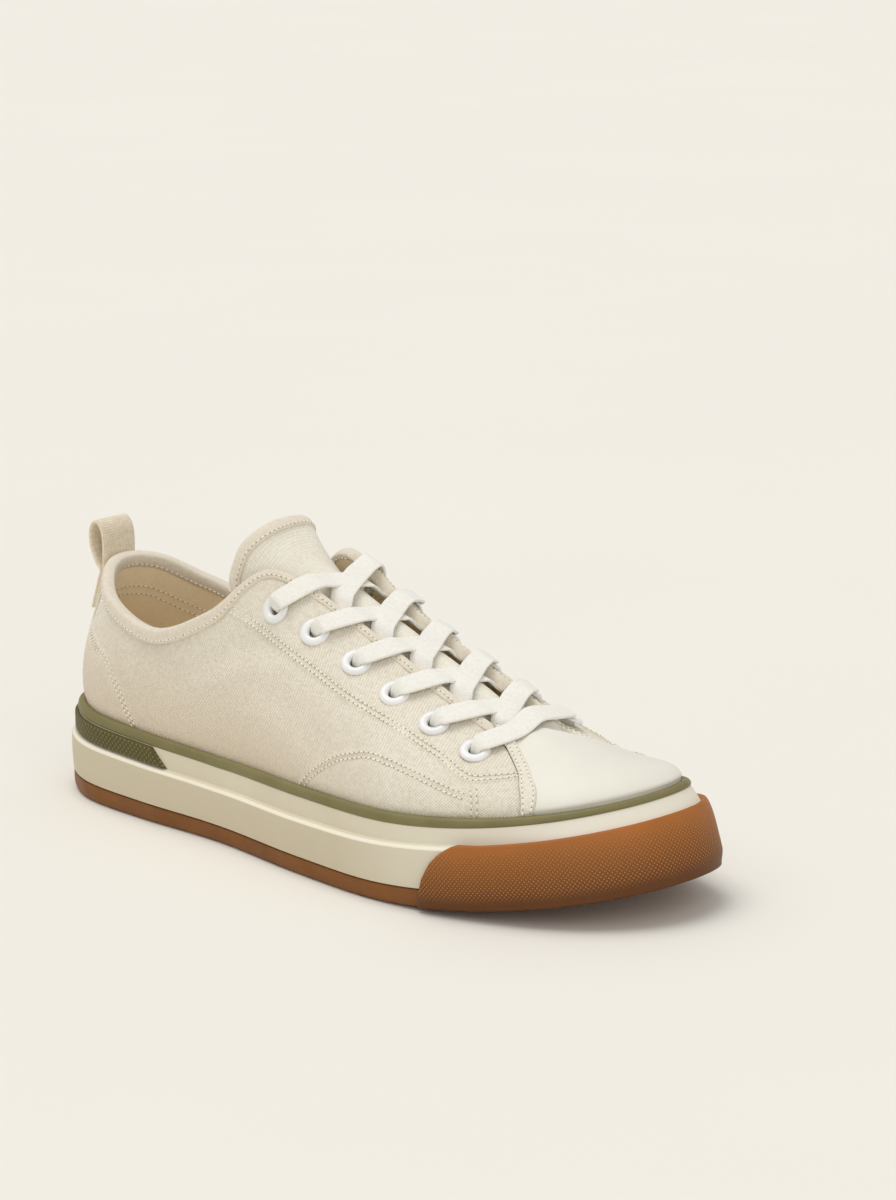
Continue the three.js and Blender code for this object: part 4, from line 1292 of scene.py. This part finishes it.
def needle_holes(name, line, normals, pitch=STITCH_PITCH, size=0.55):
    """Dark spots between the stitches of a row: painted shade in the needle holes."""
    lengths = lengths_along(line)
    count = max(1, int(lengths[-1] / pitch))
    places = np.arange(count + 1) / count * lengths[-1]
    spots = spots_along(places, lengths, line)
    ups = unit(spots_along(places, lengths, normals))
    bm = bmesh.new()
    for spot, up in zip(spots, ups):
        stand = Vector(up).to_track_quat("Z", "X").to_matrix().to_4x4()
        matrix = Matrix.Translation(Vector(spot) * MM + CENTRING) @ stand @ Matrix.Diagonal((1, 1, 0.45, 1))
        bmesh.ops.create_uvsphere(bm, u_segments=6, v_segments=4, radius=size / 2 * MM, matrix=matrix)
    mesh = bpy.data.meshes.new(name)
    bm.to_mesh(mesh)
    bm.free()
    return mesh


def build_stitches():
    rows = []
    for side in SIDES.values():
        for seam, lift, shift in (
            (EYESTAY_SEAM, PANEL + 0.05, 0.95), (EYESTAY_SEAM, PANEL - 0.1, 2.9),
            (COUNTER_SEAM, PANEL + 0.05, -0.95), (COUNTER_SEAM, PANEL - 0.1, -2.9),
            (WING_SEAM, PANEL + 0.05, -0.95), (WING_SEAM, PANEL - 0.1, -2.9),
            (WING_FRONT, PANEL + 0.05, 1.2), (WING_FRONT, PANEL - 0.1, 3.3),
        ):
            rows.append(face_row(side, seam, lift, shift))
    turns = np.linspace(-TAPE_END + 0.01, TAPE_END - 0.01, 160)
    rows.append(hem_row(turns, 1.3, 1.4))
    rows.append(tongue_row())
    inner_turns = np.linspace(-0.25, 0.25, 90)
    rows.append(hem_row(inner_turns, 1.3, -3.25))
    rows.append(hem_row(inner_turns, -8.5, -2.75))
    rows.append(hem_row(inner_turns, -12.0, -2.75))
    strip_rows = [face_row(side, seam, CAP_LIFT + 0.72, shift)
                  for side in SIDES.values() for seam, shift in ((QUARTER_FRONT, 1.0), (CAP_REAR, -1.0))]
    meshes = [stitches("row", *row) for row in rows]
    meshes += [stitches("row", *row, width=STRIP_STITCH_WIDTH) for row in strip_rows]
    place_in_scene("seam_stitches", joined("seam_stitches", meshes), THREAD)
    # Painted shade in the needle holes between the stitches.
    holes = joined("needle_holes", [needle_holes("holes", *row) for row in rows + strip_rows])
    place_in_scene("needle_holes", holes, NEEDLE_HOLE_SHADE)


# Stage, light and camera
def build_stage():
    bm = bmesh.new()
    bmesh.ops.create_grid(bm, x_segments=1, y_segments=1, size=30)
    mesh = bpy.data.meshes.new("floor")
    bm.to_mesh(mesh)
    bm.free()
    floor = bpy.data.objects.new("floor", mesh)
    bpy.context.scene.collection.objects.link(floor)
    material, shader = finish("floor_paper", 0.95, specular=0.1)
    base = mottled(material, seen(240, 237, 229), seen(238, 235, 227), (3.0,), 0.3, 0.7)
    feed(material, base, shader.inputs["Base Color"])
    mesh.materials.append(material)

    world = bpy.data.worlds.new("studio")
    bpy.context.scene.world = world
    world.use_nodes = True
    background = world.node_tree.nodes["Background"]
    background.inputs["Color"].default_value = (1.0, 0.992, 0.975, 1.0)
    background.inputs["Strength"].default_value = 0.55
    for name, way, power, angle, colour in (
        ("key", (-0.25, -0.1, 1.0), 1.35, 40, (1.0, 0.99, 0.975)),
        ("fill", (0.9, -0.6, 0.5), 0.5, 60, (1.0, 0.99, 0.98)),
    ):
        light = bpy.data.lights.new(name, "SUN")
        light.energy = power
        light.angle = math.radians(angle)
        light.color = colour
        lamp = bpy.data.objects.new(name, light)
        lamp.rotation_euler = Vector(way).to_track_quat("Z", "Y").to_euler()
        bpy.context.scene.collection.objects.link(lamp)


def build_camera():
    azimuth, elevation, roll = (math.radians(angle) for angle in (41.195, 13.639, -0.329))
    level = math.cos(elevation)
    back = Vector((math.sin(azimuth) * level, -math.cos(azimuth) * level, math.sin(elevation)))
    right = Vector((math.cos(azimuth), math.sin(azimuth), 0))
    up = back.cross(right)
    turned_right = right * math.cos(roll) + up * math.sin(roll)
    turned_up = up * math.cos(roll) - right * math.sin(roll)
    camera = bpy.data.objects.new("camera", bpy.data.cameras.new("camera"))
    camera.data.lens = 102
    camera.data.sensor_width = 36
    camera.data.clip_end = 100
    spot = Vector((8.21, 35.28, 87.13)) * MM + back * 1270.16 * MM
    camera.matrix_world = Matrix((
        (turned_right.x, turned_up.x, back.x, spot.x),
        (turned_right.y, turned_up.y, back.y, spot.y),
        (turned_right.z, turned_up.z, back.z, spot.z),
        (0, 0, 0, 1),
    ))
    bpy.context.scene.collection.objects.link(camera)
    bpy.context.scene.camera = camera
    bpy.context.scene.view_settings.view_transform = "Standard"


build_camera()
build_stage()
build_sole()
build_heel_band()
build_toe_guard()
build_quarters()
build_cap()
build_strips()
build_lining()
build_binding()
build_back_stay()
build_tongue()
build_tongue_binding()
build_loop()
build_eyelets()
build_lace()
build_stitches()
